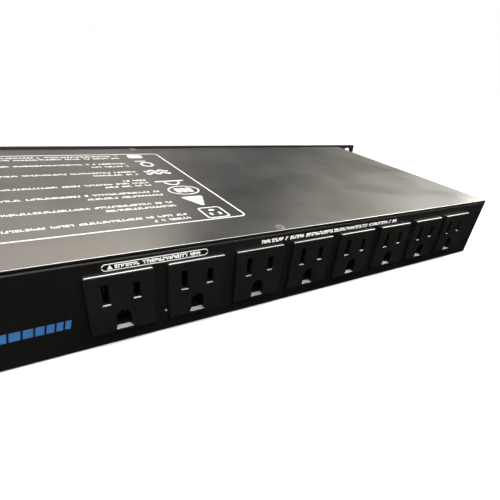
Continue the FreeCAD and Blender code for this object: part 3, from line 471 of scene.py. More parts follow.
# ---- surfaces ------------------------------------------------------------------------------------
@dataclass
class Surface:
    """Points and faces of one or more closed surfaces."""

    points: np.ndarray
    faces: list[np.ndarray] = field(default_factory=list)

    def shown(self, name: str, finish: Finish, dresser: Dresser, smooth: bool = False) -> bpy.types.Object:
        """Puts the surface into a mesh and the mesh into the scene.

        Args:
            name: the piece's name.
            finish: what it is finished in.
            dresser: where the material comes from.
            smooth: True for a round surface.

        Returns:
            The new object, at the origin.
        """
        mesh = bpy.data.meshes.new(name)
        mesh.from_pydata(self.points.tolist(), [], [face for block in self.faces for face in block.tolist()])
        mesh.polygons.foreach_set("use_smooth", np.full(len(mesh.polygons), smooth))
        mesh.materials.append(dresser.material(finish))
        mesh.update()
        piece = bpy.data.objects.new(name, mesh)
        bpy.context.scene.collection.objects.link(piece)
        LOG.info("made %s of %d faces", name, len(mesh.polygons))
        return piece


def joined(surfaces: Iterable[Surface]) -> Surface:
    """Makes one surface of several, each with its faces counted on from the points before it.

    Args:
        surfaces: the parts, in order.

    Returns:
        The whole.
    """
    whole = list(surfaces)
    starts = np.cumsum([0] + [len(part.points) for part in whole[:-1]])
    return Surface(np.concatenate([part.points for part in whole]),
                   [block + start for part, start in zip(whole, starts) for block in part.faces])


def plates(outlines: np.ndarray, low: float, high: float) -> Surface:
    """Flat plates, one for each outline: the outline at low and at high, with a wall of quads between them.

    Args:
        outlines: points of each outline, anticlockwise, as an array of plates by corners by 2.
        low: height of the lower face.
        high: height of the upper face.

    Returns:
        The closed plates.
    """
    count, corners = outlines.shape[:2]
    rings = np.empty((count, 2, corners, 3))
    rings[..., :2] = outlines[:, None]
    rings[:, 0, :, 2] = low
    rings[:, 1, :, 2] = high
    index = np.arange(count * 2 * corners).reshape(count, 2, corners)
    after = np.roll(index, -1, axis=2)
    wall = np.stack([index[:, 0], after[:, 0], after[:, 1], index[:, 1]], axis=-1).reshape(-1, 4)
    return Surface(rings.reshape(-1, 3), [index[:, 0, ::-1], index[:, 1], wall])


def band(path: np.ndarray, width: float, low: float, high: float, closed: bool) -> Surface:
    """A flat line of even width: a rectangle carried along a path, mitred where the path turns.

    Each point moves out to both sides along the mean of its two neighbouring normals, by half the width over
    the cosine of half the turn.

    Args:
        path: points in order, as an array of points by 2, and anticlockwise where it is closed.
        width: width of the line.
        low: height of its lower face.
        high: height of its upper face.
        closed: True where the last point joins the first.

    Returns:
        The closed surface.
    """
    ahead = np.roll(path, -1, axis=0) - path
    behind = path - np.roll(path, 1, axis=0)
    if not closed:
        ahead[-1] = behind[-1]
        behind[0] = ahead[0]
    ahead /= np.linalg.norm(ahead, axis=1, keepdims=True)
    behind /= np.linalg.norm(behind, axis=1, keepdims=True)
    along = ahead + behind
    along /= np.linalg.norm(along, axis=1, keepdims=True)
    side = np.stack([along[:, 1], -along[:, 0]], axis=1)
    reach = 0.5 * width / np.maximum(np.sum(along * ahead, axis=1), 0.3)
    right, left = path + side * reach[:, None], path - side * reach[:, None]
    ring = np.empty((len(path), 4, 3))
    ring[:, 0, :2], ring[:, 1, :2], ring[:, 2, :2], ring[:, 3, :2] = right, right, left, left
    ring[:, (0, 3), 2] = low
    ring[:, (1, 2), 2] = high
    return carried(ring, closed)


def carried(rings: np.ndarray, closed: bool) -> Surface:
    """A profile carried along a path: quads from each ring to the next, and a cap on each open end.

    Args:
        rings: points of the profile at each step, as an array of steps by corners by 3, anticlockwise as seen
            from the end of the path.
        closed: True where the last ring joins the first.

    Returns:
        The closed surface.
    """
    steps, corners = rings.shape[:2]
    index = np.arange(steps * corners).reshape(steps, corners)
    near = index if closed else index[:-1]
    far = np.roll(index, -1, axis=0) if closed else index[1:]
    quads = np.stack([near, np.roll(near, -1, axis=1), np.roll(far, -1, axis=1), far], axis=-1).reshape(-1, 4)
    caps = [] if closed else [index[:1, ::-1], index[-1:]]
    return Surface(rings.reshape(-1, 3), [quads, *caps])


def tube(path: np.ndarray, outward: np.ndarray, radius: float, sides: int = 12) -> Surface:
    """A round wire: a circle carried along a path, in the plane across the path's direction.

    Args:
        path: the wire's middle line, as an array of points by 3.
        outward: a direction across the path at each point, from which the circle is measured.
        radius: half the wire's thickness.
        sides: how many points the circle has.

    Returns:
        The closed surface.
    """
    along = np.gradient(path, axis=0)
    along /= np.linalg.norm(along, axis=1, keepdims=True)
    first = outward - along * np.sum(outward * along, axis=1, keepdims=True)
    first /= np.linalg.norm(first, axis=1, keepdims=True)
    second = np.cross(along, first)
    turn = np.linspace(0, 2 * np.pi, sides, endpoint=False)[None, :, None]
    rings = path[:, None] + radius * (np.cos(turn) * first[:, None] + np.sin(turn) * second[:, None])
    return carried(rings, False)


def turned_parts(profile: np.ndarray, places: np.ndarray, sides: int = 16) -> Surface:
    """The same turned shape at several places: a profile of radius and height, swept round an upright axis.

    Args:
        profile: radius and height at each step, from the lower end to the upper one, with no radius of 0.
        places: where each axis stands, as an array of places by 3.
        sides: how many points go round.

    Returns:
        The closed surfaces, with a flat cap at both ends of each.
    """
    turn = np.linspace(0, 2 * np.pi, sides, endpoint=False)
    rings = np.stack([profile[:, :1] * np.cos(turn), profile[:, :1] * np.sin(turn),
                      np.repeat(profile[:, 1:], sides, axis=1)], axis=-1)
    return joined(carried(rings + place, False) for place in places)


def arc(centre: tuple[float, float], radii: tuple[float, float], start: float, end: float,
        count: int) -> np.ndarray:
    """Part of an ellipse: the centre plus the radii times the cosine and the sine of the angle.

    Args:
        centre: the ellipse's centre.
        radii: its two radii.
        start: the angle of the first point, in degrees.
        end: the angle of the last point, in degrees.
        count: how many points there are.

    Returns:
        The points, as an array of points by 2.
    """
    angle = np.radians(np.linspace(start, end, count))
    return np.array(centre) + np.stack([radii[0] * np.cos(angle), radii[1] * np.sin(angle)], axis=1)


def round_box(left: float, right: float, foot: float, head: float, corner: float,
              count: int = 6) -> np.ndarray:
    """A rectangle whose four corners are quarter circles.

    Args:
        left: its left side.
        right: its right side.
        foot: its lower side.
        head: its upper side.
        corner: radius of its corners.
        count: how many points each corner has.

    Returns:
        The anticlockwise outline, as an array of points by 2.
    """
    middles = [(right - corner, head - corner), (left + corner, head - corner),
               (left + corner, foot + corner), (right - corner, foot + corner)]
    return np.concatenate([arc(middle, (corner, corner), 90 * k, 90 * k + 90, count)
                           for k, middle in enumerate(middles)])


# ---- screen print --------------------------------------------------------------------------------
class Side(Enum):
    """The face of the case that a print lies on, with where its width, height and thickness point."""

    TOP = ((1, 0, 0), (0, 1, 0), (0, 0, 1))
    REAR = ((-1, 0, 0), (0, 0, 1), (0, 1, 0))
    FRONT = ((1, 0, 0), (0, 0, 1), (0, -1, 0))


class Mark(Enum):
    """Plain shapes that stand for small print: two bars in a cell one high, as left, right, foot, head."""

    POST_AND_BLOCK = ((0.00, 0.24, 0.0, 1.0), (0.34, 0.64, 0.0, 0.44))
    TWO_DASHES = ((0.00, 0.62, 0.0, 0.28), (0.00, 0.62, 0.42, 1.0))
    TWO_POSTS = ((0.00, 0.26, 0.0, 1.0), (0.38, 0.66, 0.3, 1.0))
    DASH_OVER_POST = ((0.00, 0.66, 0.74, 1.0), (0.38, 0.66, 0.0, 0.60))
    BLOCK_UNDER_DASH = ((0.00, 0.34, 0.0, 0.55), (0.00, 0.66, 0.68, 1.0))
    STEP = ((0.00, 0.26, 0.35, 1.0), (0.36, 0.66, 0.0, 0.8))


@dataclass(frozen=True)
class MarkRow:
    """A row of plain marks, broken by gaps, where a line of small print would be. Sizes are millimetres."""

    start: float
    middle: float
    length: float
    height: float
    seed: int
    slant: float = 0.0
    pitch: float = 0.78
    gap: float = 0.14

    def outlines(self) -> np.ndarray:
        """Works out the marks: a random mark in each cell, none where a gap falls, all leaning by the slant.

        Returns:
            The corners of every bar, as an array of bars by 4 by 2.
        """
        draw = np.random.default_rng(self.seed)
        cells = max(2, int(self.length / (self.height * self.pitch)))
        bars = np.array([mark.value for mark in Mark])[draw.integers(len(Mark), size=cells)]
        blank = draw.random(cells) < self.gap
        blank[0] = blank[-1] = False
        blank[1:] &= ~blank[:-1]
        bars, at = bars[~blank], np.arange(cells)[~blank] * self.pitch
        left, right, foot, head = (bars[..., k] for k in range(4))
        corners = np.stack([np.stack([left, foot], -1), np.stack([right, foot], -1),
                            np.stack([right, head], -1), np.stack([left, head], -1)], axis=-2)
        corners[..., 0] += at[:, None, None] + self.slant * corners[..., 1]
        corners = corners.reshape(-1, 4, 2) * self.height
        return corners + np.array([self.start, self.middle - self.height / 2])


@dataclass
class ScreenPrint:
    """Ink on one flat face. Lengths of its parts are millimetres, in the face's own width and height."""

    side: Side
    level: float
    dresser: Dresser
    ink: float = 0.05
    soak: float = 0.03

    def placed(self, flat: Surface) -> Surface:
        """Carries a flat surface in millimetres to its face, in metres."""
        axes = np.array(self.side.value, float)
        return Surface(flat.points @ axes * MM + axes[2] * self.level * axes[2].sum(), flat.faces)

    def line(self, path: np.ndarray, width: float, closed: bool) -> Surface:
        """A printed line along a path."""
        return band(path, width, -self.soak, self.ink, closed)

    def blocks(self, outlines: np.ndarray) -> Surface:
        """Solid printed areas."""
        return plates(outlines, -self.soak, self.ink)

    def rows(self, rows: Iterable[MarkRow]) -> Surface:
        """Rows of small marks."""
        return self.blocks(np.concatenate([row.outlines() for row in rows]))

    def printed(self, name: str, parts: Iterable[Surface], finish: Finish = WHITE_INK) -> None:
        """Makes one piece of several printed parts and lets it ride on the case."""
        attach(self.placed(joined(parts)).shown(name, finish, self.dresser), "case")


@dataclass
class CoverLegend:
    """The boxed table on the cover: a frame, a column of plain signs and a block of small print to each.

    It reads from the front. Widths run along X and depths are measured from the rear edge, in millimetres.
    """

    sheet: ScreenPrint
    rear_edge: float
    left: float = -17.9
    right: float = 131.0
    near: float = 22.8
    far: float = 149.0
    corner: float = 3.3
    line: float = 1.05
    text_left: float = 11.6
    text_height: float = 2.4
    sign_line: float = 1.0
    text_rows: tuple[tuple[float, float], ...] = (
        (27.9, 19.5), (32.9, 104.0), (45.7, 36.0), (50.9, 98.0), (63.3, 41.0), (69.0, 107.0),
        (80.5, 26.5), (85.2, 101.0), (89.9, 14.5), (102.2, 27.0), (107.4, 110.0), (120.0, 24.0),
        (126.2, 92.0), (139.2, 99.0), (144.2, 103.0))

    def depth(self, from_rear: float) -> float:
        """The Y of a depth from the rear edge, in millimetres."""
        return self.rear_edge / MM - from_rear

    def build(self) -> None:
        """Prints the frame, the small print and the signs."""
        frame = round_box(self.left, self.right, self.depth(self.far), self.depth(self.near), self.corner)
        self.sheet.printed("cover_legend_frame", [self.sheet.line(frame, self.line, True)])
        rows = [MarkRow(self.text_left, self.depth(depth), length, self.text_height, seed)
                for seed, (depth, length) in enumerate(self.text_rows)]
        self.sheet.printed("cover_legend_rows", [self.sheet.rows(rows)])
        self.sheet.printed("cover_legend_signs", self.signs())

    def signs(self) -> list[Surface]:
        """The seven signs, from the rear edge on: plain shapes with no meaning of their own."""
        return [*self.socket_sign(), self.wedge_sign(), *self.oval_sign(), *self.dip_sign(),
                *self.wave_sign(), *self.ring_sign(), self.slab_sign()]

    def socket_sign(self) -> list[Surface]:
        """A rounded square with two bars and a block inside."""
        head, foot = self.depth(24.6), self.depth(38.4)
        square = round_box(-9.4, 2.7, foot, head, 1.8)
        bars = np.array([round_box(x, x + 1.5, head - 6.6, head - 3.2, 0.3, 2) for x in (-6.6, -1.6)])
        block = round_box(-5.0, -1.7, foot + 2.6, foot + 5.0, 0.8, 2)[None]
        return [self.sheet.line(square, self.sign_line, True),
                self.sheet.blocks(np.concatenate([bars, block]))]

    def wedge_sign(self) -> Surface:
        """A solid wedge with blunt corners, its point to the rear."""
        head, foot = self.depth(42.6), self.depth(57.0)
        outline = np.array([(-8.8, foot + 1.2), (-8.0, foot), (3.0, foot), (3.8, foot + 1.2),
                            (-2.0, head), (-3.6, head)])
        return self.sheet.blocks(outline[None])

    def oval_sign(self) -> list[Surface]:
        """An oval ring round three close bars."""
        middle = self.depth(68.0)
        ring = arc((-3.1, middle), (8.9, 7.2), 0, 360, 41)[:-1]
        bars = np.array([round_box(-8.2 + 3.6 * k, -5.2 + 3.6 * k, middle - 3.6, middle + 3.6, 0.5, 2)
                         for k in range(3)])
        return [self.sheet.line(ring, self.sign_line, True), self.sheet.blocks(bars)]

    def dip_sign(self) -> list[Surface]:
        """A straight bar with a half ring hung from it."""
        level = self.depth(85.6)
        bar = np.array([round_box(-10.6, 7.4, level - 0.9, level + 0.9, 0.4, 2)])
        ring = arc((-2.2, level + 1.6), (4.3, 5.4), 0, 180, 17)
        return [self.sheet.blocks(bar), self.sheet.line(ring, 1.3, False)]

    def wave_sign(self) -> list[Surface]:
        """Two waves, one above the other: a sine of two and a half periods."""
        along = np.linspace(-9.4, 5.8, 41)
        waves = []
        for depth in (102.6, 107.6):
            across = self.depth(depth) + 1.7 * np.sin((along + 9.4) / 15.2 * 5 * np.pi)
            waves.append(self.sheet.line(np.stack([along, across], axis=1), 1.7, False))
        return waves

    def ring_sign(self) -> list[Surface]:
        """A ring with a short bar beside it."""
        ring = arc((-1.8, self.depth(122.8)), (3.6, 4.6), 0, 360, 25)[:-1]
        bar = np.array([round_box(-3.6, 3.8, self.depth(131.6), self.depth(130.0), 0.4, 2)])
        return [self.sheet.line(ring, 1.5, True), self.sheet.blocks(bar)]

    def slab_sign(self) -> Surface:
        """A solid slab with round ends."""
        return self.sheet.blocks(round_box(-5.2, 4.6, self.depth(146.4), self.depth(138.6), 2.4)[None])


@dataclass
class RearPrint:
    """The print on the rear wall: a capsule of small marks, a long leaning row, and a blue band of lozenges.

    Widths run from left to right as seen from behind, which is towards -X. Millimetres.
    """

    sheet: ScreenPrint
    capsule: tuple[float, float] = (-62.3, -16.4)
    capsule_foot: float = 36.2
    capsule_head: float = 39.0
    capsule_line: float = 0.32
    long_row: tuple[float, float] = (12.6, 104.4)
    lozenge_right: float = -76.4
    lozenge_foot: float = 13.3
    lozenge_head: float = 17.2
    lozenges: int = 8

    def build(self) -> None:
        """Prints the three groups, and short rows for the breaker and the inlet."""
        self.sheet.printed("rear_capsule", self.capsule_parts())
        start, length = self.long_row
        row = MarkRow(start, 37.8, length, 1.9, seed=31, slant=0.22, pitch=0.80, gap=0.15)
        self.sheet.printed("rear_long_row", [self.sheet.rows([row])])
        self.sheet.printed("rear_blue_lozenges", [self.sheet.blocks(self.lozenge_outlines())], BLUE_INK)
        labels = [MarkRow(-133.0, 36.2, 14.0, 1.7, 41), MarkRow(-185.0, 38.0, 30.0, 1.7, 42)]
        self.sheet.printed("rear_short_rows", [self.sheet.rows(labels)])

    def capsule_parts(self) -> list[Surface]:
        """The capsule's outline, the small wedge at its left end and the marks inside it."""
        left, right = self.capsule
        half = (self.capsule_head - self.capsule_foot) / 2
        outline = round_box(left, right, self.capsule_foot, self.capsule_head, half, 9)
        middle = self.capsule_foot + half
        foot = middle - 0.9
        wedge = np.array([[(left + 2.0, foot), (left + 4.2, foot), (left + 3.1, middle + 1.0)]])
        row = MarkRow(left + 5.0, middle, right - left - 7.4, 1.6, seed=21, gap=0.1)
        return [self.sheet.line(outline, self.capsule_line, True), self.sheet.blocks(wedge),
                self.sheet.rows([row])]

    def lozenge_outlines(self) -> np.ndarray:
        """Leaning lozenges, each a little wider than the one to its right: a plain band with no lettering."""
        width = 2.1 + 0.35 * np.arange(self.lozenges)
        right = self.lozenge_right - np.concatenate([[0.0], np.cumsum(width + 0.75)[:-1]])
        foot, head = self.lozenge_foot, self.lozenge_head
        lean = 0.22 * (head - foot)
        corners = [(right - width - lean, foot), (right - lean, foot), (right, head), (right - width, head)]
        return np.stack([np.stack([across, np.full(self.lozenges, height)], axis=-1)
                         for across, height in corners], axis=1)


@dataclass
class FrontPrint:
    """Short rows of marks by the outlet, the lamps and the switch on the front panel. Millimetres."""

    sheet: ScreenPrint
    outlet_x: float
    lamp_x: float
    lamp_z: tuple[float, float]
    switch_x: float
    height: float = 1.7

    def build(self) -> None:
        """Prints the rows."""
        rows = [MarkRow(self.outlet_x - 9.5, 39.4, 19.0, self.height, 51),
                MarkRow(self.switch_x - 6.5, 40.6, 13.0, self.height, 52)]
        rows += [MarkRow(self.lamp_x + 6.4, level, 6.0, self.height, 53 + k)
                 for k, level in enumerate(self.lamp_z)]
        self.sheet.printed("front_panel_rows", [self.sheet.rows(rows)])


# ---- sub-assemblies -------------------------------------------------------------------------------
@dataclass
class Assembly:
    """A sub-assembly: the finishes of its CAD nodes, and the new pieces that it adds."""

    FINISHES: ClassVar[dict[Finish, tuple[str, ...]]] = {}
    dresser: Dresser

    def dress(self) -> None:
        """Gives each CAD node its finish."""
        for finish, names in self.FINISHES.items():
            self.dresser.dress(finish, *names)

    def build(self) -> None:
        """Adds the new pieces. A sub-assembly that CAD gives in full has none."""


@dataclass
class Case(Assembly):
    """Folded tray and cover, front panel and the screws that hold them."""

    FINISHES = {
        BLACK_POWDER: ("base_tray", "top_cover"),
        FRONT_POWDER: ("front_panel",),
        BLACK_OXIDE: ("side_screws", "front_panel_screws"),
        WORN_OXIDE: ("top_cover_screws",),
    }


@dataclass
class Outlets(Assembly):
    """The outlets: moulded housings, their caps and the stamped contacts."""

    STEMS: ClassVar[list[str]] = [f"rear_outlet_{k + 1}" for k in range(8)] + ["front_outlet"]
    FINISHES = {
        OUTLET_NYLON: tuple(map("{}_housing".format, STEMS)),
        CAP_NYLON: tuple(map("{}_back".format, STEMS)),
        BRASS: ("line_contacts", "neutral_contacts", "ground_contacts"),
    }


@dataclass
class PowerEntry(Assembly):
    """Inlet and circuit breaker on the rear wall. Sizes are millimetres."""

    FINISHES = {
        INLET_NYLON: ("inlet_housing",),
        NICKEL: ("inlet_pins", "breaker_nut"),
        BLACK_OXIDE: ("inlet_screws",),
        ZINC: ("inlet_nuts",),
        PHENOLIC: ("breaker_body",),
        BUTTON_ABS: ("breaker_button",),
    }
    bushing_radius: float = 4.8
    thread_pitch: float = 0.75
    thread_depth: float = 0.22
    thread_length: float = 3.1
    thread_fade: float = 0.3
    proud: float = 0.02

    def build(self) -> None:
        """Cuts the thread on the bushing, between the nut and the bushing's end.

        The radius is the bushing's plus a triangle wave of the height along the axis less the turn, and fades
        to the bushing's own at both ends.
        """
        low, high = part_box("breaker_nut")
        steps, sides = 60, 40
        along = np.linspace(0, self.thread_length, steps)[:, None]
        turn = np.linspace(0, 2 * np.pi, sides, endpoint=False)[None]
        phase = (along / self.thread_pitch - turn / (2 * np.pi)) % 1.0
        ridge = 1 - np.abs(2 * phase - 1)
        fade = np.clip(np.minimum(along, self.thread_length - along) / self.thread_fade, 0, 1)
        radius = (self.bushing_radius + self.proud + self.thread_depth * ridge * fade) * MM
        rings = np.stack([(low.x + high.x) / 2 + radius * np.sin(turn), high.y + along * MM + 0 * turn,
                          (low.z + high.z) / 2 + radius * np.cos(turn)], axis=-1)
        thread = carried(rings, False).shown("breaker_thread", NICKEL, self.dresser, True)
        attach(thread, "case")


@dataclass
class FrontControls(Assembly):
    """Rocker switch and indicator lamps. Sizes are millimetres, and angles are degrees."""

    FINISHES = {
        SWITCH_NYLON: ("switch_housing",),
        ROCKER_RED: ("power_rocker",),
        BRASS: ("switch_terminals",),
        NEON_GLASS: ("switch_lamp",),
        BEZEL: ("indicator_bezels",),
        LENS_GREEN: ("indicator_lamps",),
    }
    pivot: Vector
    tilt: float = 9.0
    crease_y: float = -5.4
    edge_y: float = -7.6
    edge_z: float = 11.4

    def build(self) -> None:
        """Prints the on bar and the off ring on the rocker's two facets."""
        bar = plates(round_box(-0.45, 0.45, -1.9, 1.9, 0.2, 3)[None], -0.04, 0.05)
        ring = band(arc((0, 0), (1.7, 1.9), 0, 360, 33)[:-1], 0.75, -0.04, 0.05, True)
        marks = [self.on_facet(bar, 1), self.on_facet(ring, -1)]
        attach(joined(marks).shown("rocker_marks", WHITE_INK, self.dresser), "rocker")

    def on_facet(self, flat: Surface, end: int) -> Surface:
        """Carries a flat mark to the middle of a facet.

        The facet runs from the crease at the pivot's height to the rocker's edge, and the whole rocker leans
        by the tilt about the pivot.

        Args:
            flat: the mark, in millimetres, lying flat.
            end: 1 for the upper facet and -1 for the lower one.

        Returns:
            The mark on the facet, in metres.
        """
        crease, edge = np.array([self.crease_y, 0.0]), np.array([self.edge_y, end * self.edge_z])
        up = (edge - crease) * end
        up /= np.linalg.norm(up)
        out = np.array([-up[1], up[0]])
        y_z = (crease + edge) / 2 + flat.points[:, 1:2] * up + flat.points[:, 2:] * out
        angle = math.radians(self.tilt)
        lean = np.array([[math.cos(angle), math.sin(angle)], [-math.sin(angle), math.cos(angle)]])
        points = np.concatenate([flat.points[:, :1], y_z @ lean], axis=1) * MM + np.array(self.pivot)
        return Surface(points, flat.faces)


@dataclass
class FilterBoard(Assembly):
    """The surge and filter board with its choke, capacitors and varistors. Sizes are millimetres."""

    FINISHES = {
        LAMINATE: ("filter_board",),
        ZINC: ("board_standoffs", "board_screws"),
        FISH_PAPER: ("insulation_sheet",),
        FERRITE: ("choke_core",),
        CAPACITOR: ("capacitors",),
        VARISTOR: ("varistors",),
        BRASS: ("board_tabs",),
    }
    core_bore: float = 8.0
    wire: float = 0.6
    clear: float = 0.12
    turns: int = 9
    bank_start: float = 35.0
    bank_sweep: float = 110.0
    squareness: float = 5.0
    capacitor_inset: tuple[float, float] = (2.0, 5.0)
    disc_inset: float = 2.3
    disc_lead: float = 4.0

    def build(self) -> None:
        """Winds the choke's two banks and solders the leads."""
        for bank in range(2):
            wire = self.winding(180.0 * bank).shown(f"choke_winding_{bank + 1}", COPPER, self.dresser, True)
            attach(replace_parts(wire, "choke_windings"), "case")
        joints = turned_parts(self.joint_profile(), self.joint_places())
        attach(joints.shown("board_solder_joints", SOLDER, self.dresser, True), "case")

    def winding(self, bank: float) -> Surface:
        """One bank: a wire wound round the core's section while it goes round the core.

        The section is a superellipse, its radii those of the core plus the wire and a little air, so that its
        sides are nearly straight and its corners round.

        Args:
            bank: the angle that the bank is turned by, in degrees.

        Returns:
            The closed wire.
        """
        low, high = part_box("choke_core")
        outer, inner = (high.x - low.x) / 2 / MM, self.core_bore
        off = self.wire + self.clear
        steps = np.linspace(0, 1, self.turns * 40 + 1)
        turn = 2 * np.pi * self.turns * steps - np.pi / 2
        power = 2 / self.squareness
        across = (outer - inner) / 2 + off
        tall = (high.z - low.z) / 2 / MM + off
        radius = (outer + inner) / 2 + across * np.sign(np.cos(turn)) * np.abs(np.cos(turn)) ** power
        level = tall * np.sign(np.sin(turn)) * np.abs(np.sin(turn)) ** power
        angle = np.radians(bank + self.bank_start + self.bank_sweep * steps)
        middle = Vector(((low.x + high.x) / 2, (low.y + high.y) / 2, (low.z + high.z) / 2))
        flat = np.stack([radius * np.cos(angle), radius * np.sin(angle), level], axis=1)
        hub = np.stack([(outer + inner) / 2 * np.cos(angle), (outer + inner) / 2 * np.sin(angle),
                        np.zeros_like(angle)], axis=1)
        return tube(flat * MM + np.array(middle), flat - hub, self.wire * MM)

    def joint_places(self) -> np.ndarray:
        """Works out where leads pass through the board: two at each capacitor and varistor, one at each tab.

        Returns:
            The places, as an array of places by 3.
        """
        board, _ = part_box("filter_board")
        tabs_low, tabs_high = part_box("board_tabs")
        caps_low, caps_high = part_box("capacitors")
        discs_low, discs_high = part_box("varistors")
        tab_y = np.linspace(tabs_low.y, tabs_high.y, 5)
        places = [((tabs_low.x + tabs_high.x) / 2, y) for y in tab_y]
        in_x, in_y = self.capacitor_inset
        places += [(x, y) for x in (caps_low.x + in_x * MM, caps_high.x - in_x * MM)
                   for y in (caps_low.y + in_y * MM, caps_high.y - in_y * MM)]
        inset = self.disc_inset * MM
        disc_x = np.linspace(discs_low.x + inset, discs_high.x - inset, 3)
        disc_y = (discs_low.y + discs_high.y) / 2
        places += [(x, disc_y + side * self.disc_lead * MM) for x in disc_x for side in (-1, 1)]
        return np.array([(x, y, board.z) for x, y in places])

    @staticmethod
    def joint_profile() -> np.ndarray:
        """A solder fillet under the board: wide at the pad, with hollow flanks, and a cut lead at its tip."""
        share = np.linspace(0, 1, 9)
        radius = 0.45 + 0.95 * share ** 2.2
        return np.stack([radius, -1.3 * (1 - share) + 0.05], axis=1) * MM


@dataclass
class Wiring(Assembly):
    """Conductors, push-on sleeves and the earth point."""

    FINISHES = {
        WIRE_BLACK: ("line_bus_wire", "line_leads"),
        WIRE_WHITE: ("neutral_bus_wire", "neutral_leads"),
        WIRE_GREEN: ("ground_bus_wire", "ground_leads"),
        SLEEVE: ("tab_sleeves",),
        ZINC: ("earth_stud", "earth_nut"),
        BRASS: ("earth_lugs",),
    }


# ---- studio --------------------------------------------------------------------------------------
@dataclass(frozen=True)
class SoftBox:
    """A soft light that shows only in the gloss: a glowing rectangle that faces its aim."""

    name: str
    place: tuple[float, float, float]
    width: float
    height: float
    radiance: float
    colour: str = "#FFFFFF"
    aim: tuple[float, float, float] = (0.0, 0.0, 0.03)

    def hang(self) -> None:
        """Adds the light. Its power is its radiance times its area times pi."""
        light = bpy.data.lights.new(self.name, "AREA")
        light.shape = "RECTANGLE"
        light.size = self.width
        light.size_y = self.height
        light.energy = self.radiance * self.width * self.height * math.pi
        light.color = linear(self.colour)[:3]
        holder = bpy.data.objects.new(self.name, light)
        holder.location = self.place
        holder.rotation_euler = (Vector(self.aim) - Vector(self.place)).to_track_quat("-Z", "Y").to_euler()
        holder.visible_camera = False
        holder.visible_diffuse = False
        bpy.context.scene.collection.objects.link(holder)


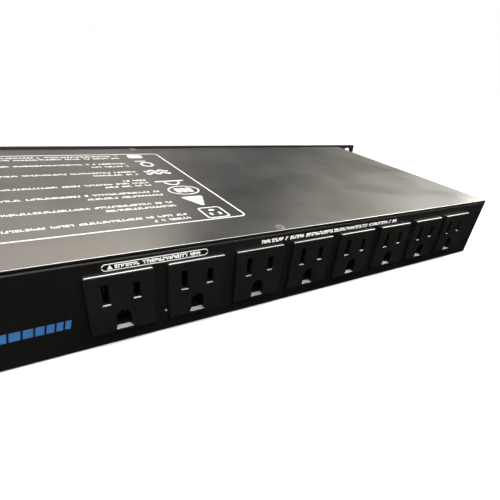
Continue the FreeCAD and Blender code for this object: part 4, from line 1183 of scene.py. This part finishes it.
@dataclass
class Studio:
    """Pale floor, soft lights and the camera. Angles are degrees."""

    dresser: Dresser
    floor_half: float = 12.0
    sun_strength: float = 4.0
    sun_spread: float = 70.0
    sun_lean: float = 28.0
    room: str = "#6C6C6C"
    below: str = "#0A0A0A"
    camera_place: tuple[float, float, float] = (0.0930, 0.2251, 0.1143)
    heading: float = 140.44
    dip: float = 35.45
    roll: float = 8.69
    lens: float = 27.82
    sensor: float = 36.0
    shift: tuple[float, float] = (-0.0364, 0.1556)
    boxes: tuple[SoftBox, ...] = (
        SoftBox("panel_ahead", (0.0, -2.0, 1.3), 1.8, 0.5, 8.0, "#FFF4E5"),
        SoftBox("panel_beside", (-1.7, -1.1, 1.3), 0.9, 0.5, 6.5, "#FFF4D6"),
        SoftBox("low_panel_past_the_ear", (-2.3, -0.5, 0.5), 0.9, 0.5, 3.0, "#FFF2E7"),
        SoftBox("panel_behind", (0.2, 2.2, 0.8), 2.0, 0.8, 3.0, "#FFF9F4"),
        SoftBox("ceiling_row_1", (0.5, 0.2, 1.6), 0.8, 1.6, 17.0, "#FFFBFC", (0.5, 0.2, 0.0)),
        SoftBox("ceiling_row_2", (-0.3, 0.2, 1.6), 0.8, 1.6, 55.0, "#FFFBFA", (-0.3, 0.2, 0.0)),
        SoftBox("ceiling_row_3", (-1.15, 0.2, 1.6), 0.9, 1.6, 20.0, "#FFFEF8", (-1.15, 0.2, 0.0)),
        SoftBox("ceiling_row_4", (-2.3, 0.0, 1.6), 1.4, 2.2, 43.0, "#FFFDF2", (-2.3, 0.0, 0.0)),
    )

    def build(self) -> None:
        """Sets the floor, the lights, the room and the camera."""
        self.lay_floor()
        for box in self.boxes:
            box.hang()
        self.add_sun()
        self.fill_room()
        self.place_camera()
        bpy.context.scene.view_settings.view_transform = "Standard"

    def lay_floor(self) -> None:
        """A wide pale plane under the object, unseen in reflections."""
        half = self.floor_half
        points = np.array([(-half, -half, 0), (half, -half, 0), (half, half, 0), (-half, half, 0)], float)
        floor = Surface(points, [np.array([[0, 1, 2, 3]])]).shown("studio_floor", PALE_FLOOR, self.dresser)
        floor.visible_glossy = False

    def add_sun(self) -> None:
        """An even fill from above, leaning to the outlets' side, with soft shadows and no reflection."""
        sun = bpy.data.lights.new("overhead_fill", "SUN")
        sun.energy = self.sun_strength
        sun.angle = math.radians(self.sun_spread)
        holder = bpy.data.objects.new("overhead_fill", sun)
        holder.rotation_euler = (math.radians(-self.sun_lean), 0, 0)
        holder.visible_glossy = False
        bpy.context.scene.collection.objects.link(holder)

    def fill_room(self) -> None:
        """A plain white backdrop to look at, and a grey room over a dark table to light and mirror."""
        world = bpy.data.worlds.new("studio_room")
        bpy.context.scene.world = world
        world.use_nodes = True
        tree = world.node_tree
        tree.nodes.clear()
        seen = add_node(tree, "ShaderNodeLightPath").outputs["Is Camera Ray"]
        way = add_node(tree, "ShaderNodeTexCoord").outputs["Generated"]
        height = add_node(tree, "ShaderNodeSeparateXYZ", {"Vector": way}).outputs["Z"]
        tone = Finish.blend(tree, height, linear(self.below), linear(self.room), -0.02, 0.02)
        room = add_node(tree, "ShaderNodeBackground", {"Color": tone, "Strength": 1.0})
        backdrop = add_node(tree, "ShaderNodeBackground", {"Color": linear("#FFFFFF"), "Strength": 1.0})
        both = add_node(tree, "ShaderNodeMixShader", {
            0: seen, 1: room.outputs[0], 2: backdrop.outputs[0]})
        add_node(tree, "ShaderNodeOutputWorld", {"Surface": both.outputs[0]})

    def place_camera(self) -> None:
        """Stands the camera behind the object, above its outlets, looking down along the rear wall."""
        data = bpy.data.cameras.new("camera")
        data.lens = self.lens
        data.sensor_width = self.sensor
        data.shift_x, data.shift_y = self.shift
        data.clip_start = 0.005
        camera = bpy.data.objects.new("camera", data)
        turned = (Matrix.Rotation(math.radians(self.heading), 4, "Z")
                  @ Matrix.Rotation(math.radians(90 - self.dip), 4, "X")
                  @ Matrix.Rotation(math.radians(self.roll), 4, "Z"))
        camera.matrix_world = Matrix.Translation(self.camera_place) @ turned
        bpy.context.scene.collection.objects.link(camera)
        bpy.context.scene.camera = camera


# ---- the whole object ----------------------------------------------------------------------------
def joint_place(joints: list[dict], name: str) -> Vector:
    """Where a joint's axis passes, from the record."""
    return Vector(next(joint["pos_m"] for joint in joints if joint["name"] == name))


def middle_mm(node: str) -> float:
    """The X of the middle of a CAD node, in millimetres."""
    low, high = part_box(node)
    return (low.x + high.x) / 2 / MM


def print_everything(dresser: Dresser) -> None:
    """Prints the cover, the rear wall and the front panel."""
    cover_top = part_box("top_cover")[1]
    rear_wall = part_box("base_tray")[1].y
    CoverLegend(ScreenPrint(Side.TOP, cover_top.z, dresser), cover_top.y).build()
    RearPrint(ScreenPrint(Side.REAR, rear_wall, dresser)).build()
    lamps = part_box("indicator_lamps")
    radius = (lamps[1].x - lamps[0].x) / 2
    FrontPrint(
        ScreenPrint(Side.FRONT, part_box("front_panel")[0].y, dresser),
        middle_mm("front_outlet_housing"),
        middle_mm("indicator_lamps"),
        ((lamps[0].z + radius) / MM, (lamps[1].z - radius) / MM),
        middle_mm("switch_housing"),
    ).build()


def main() -> None:
    """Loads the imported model, dresses it, adds the new pieces and sets the studio."""
    logging.basicConfig(level=logging.INFO, format="%(name)s: %(message)s")
    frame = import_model()
    dresser = Dresser(frame["nodes"])
    pivot = joint_place(frame["joints"], "rocker_tilt")
    parts = (Case(dresser), Outlets(dresser), PowerEntry(dresser), FrontControls(dresser, pivot),
             FilterBoard(dresser), Wiring(dresser))
    for part in parts:
        part.dress()
    for part in parts:
        part.build()
    print_everything(dresser)
    Studio(dresser).build()


if __name__ == "__main__":
    main()
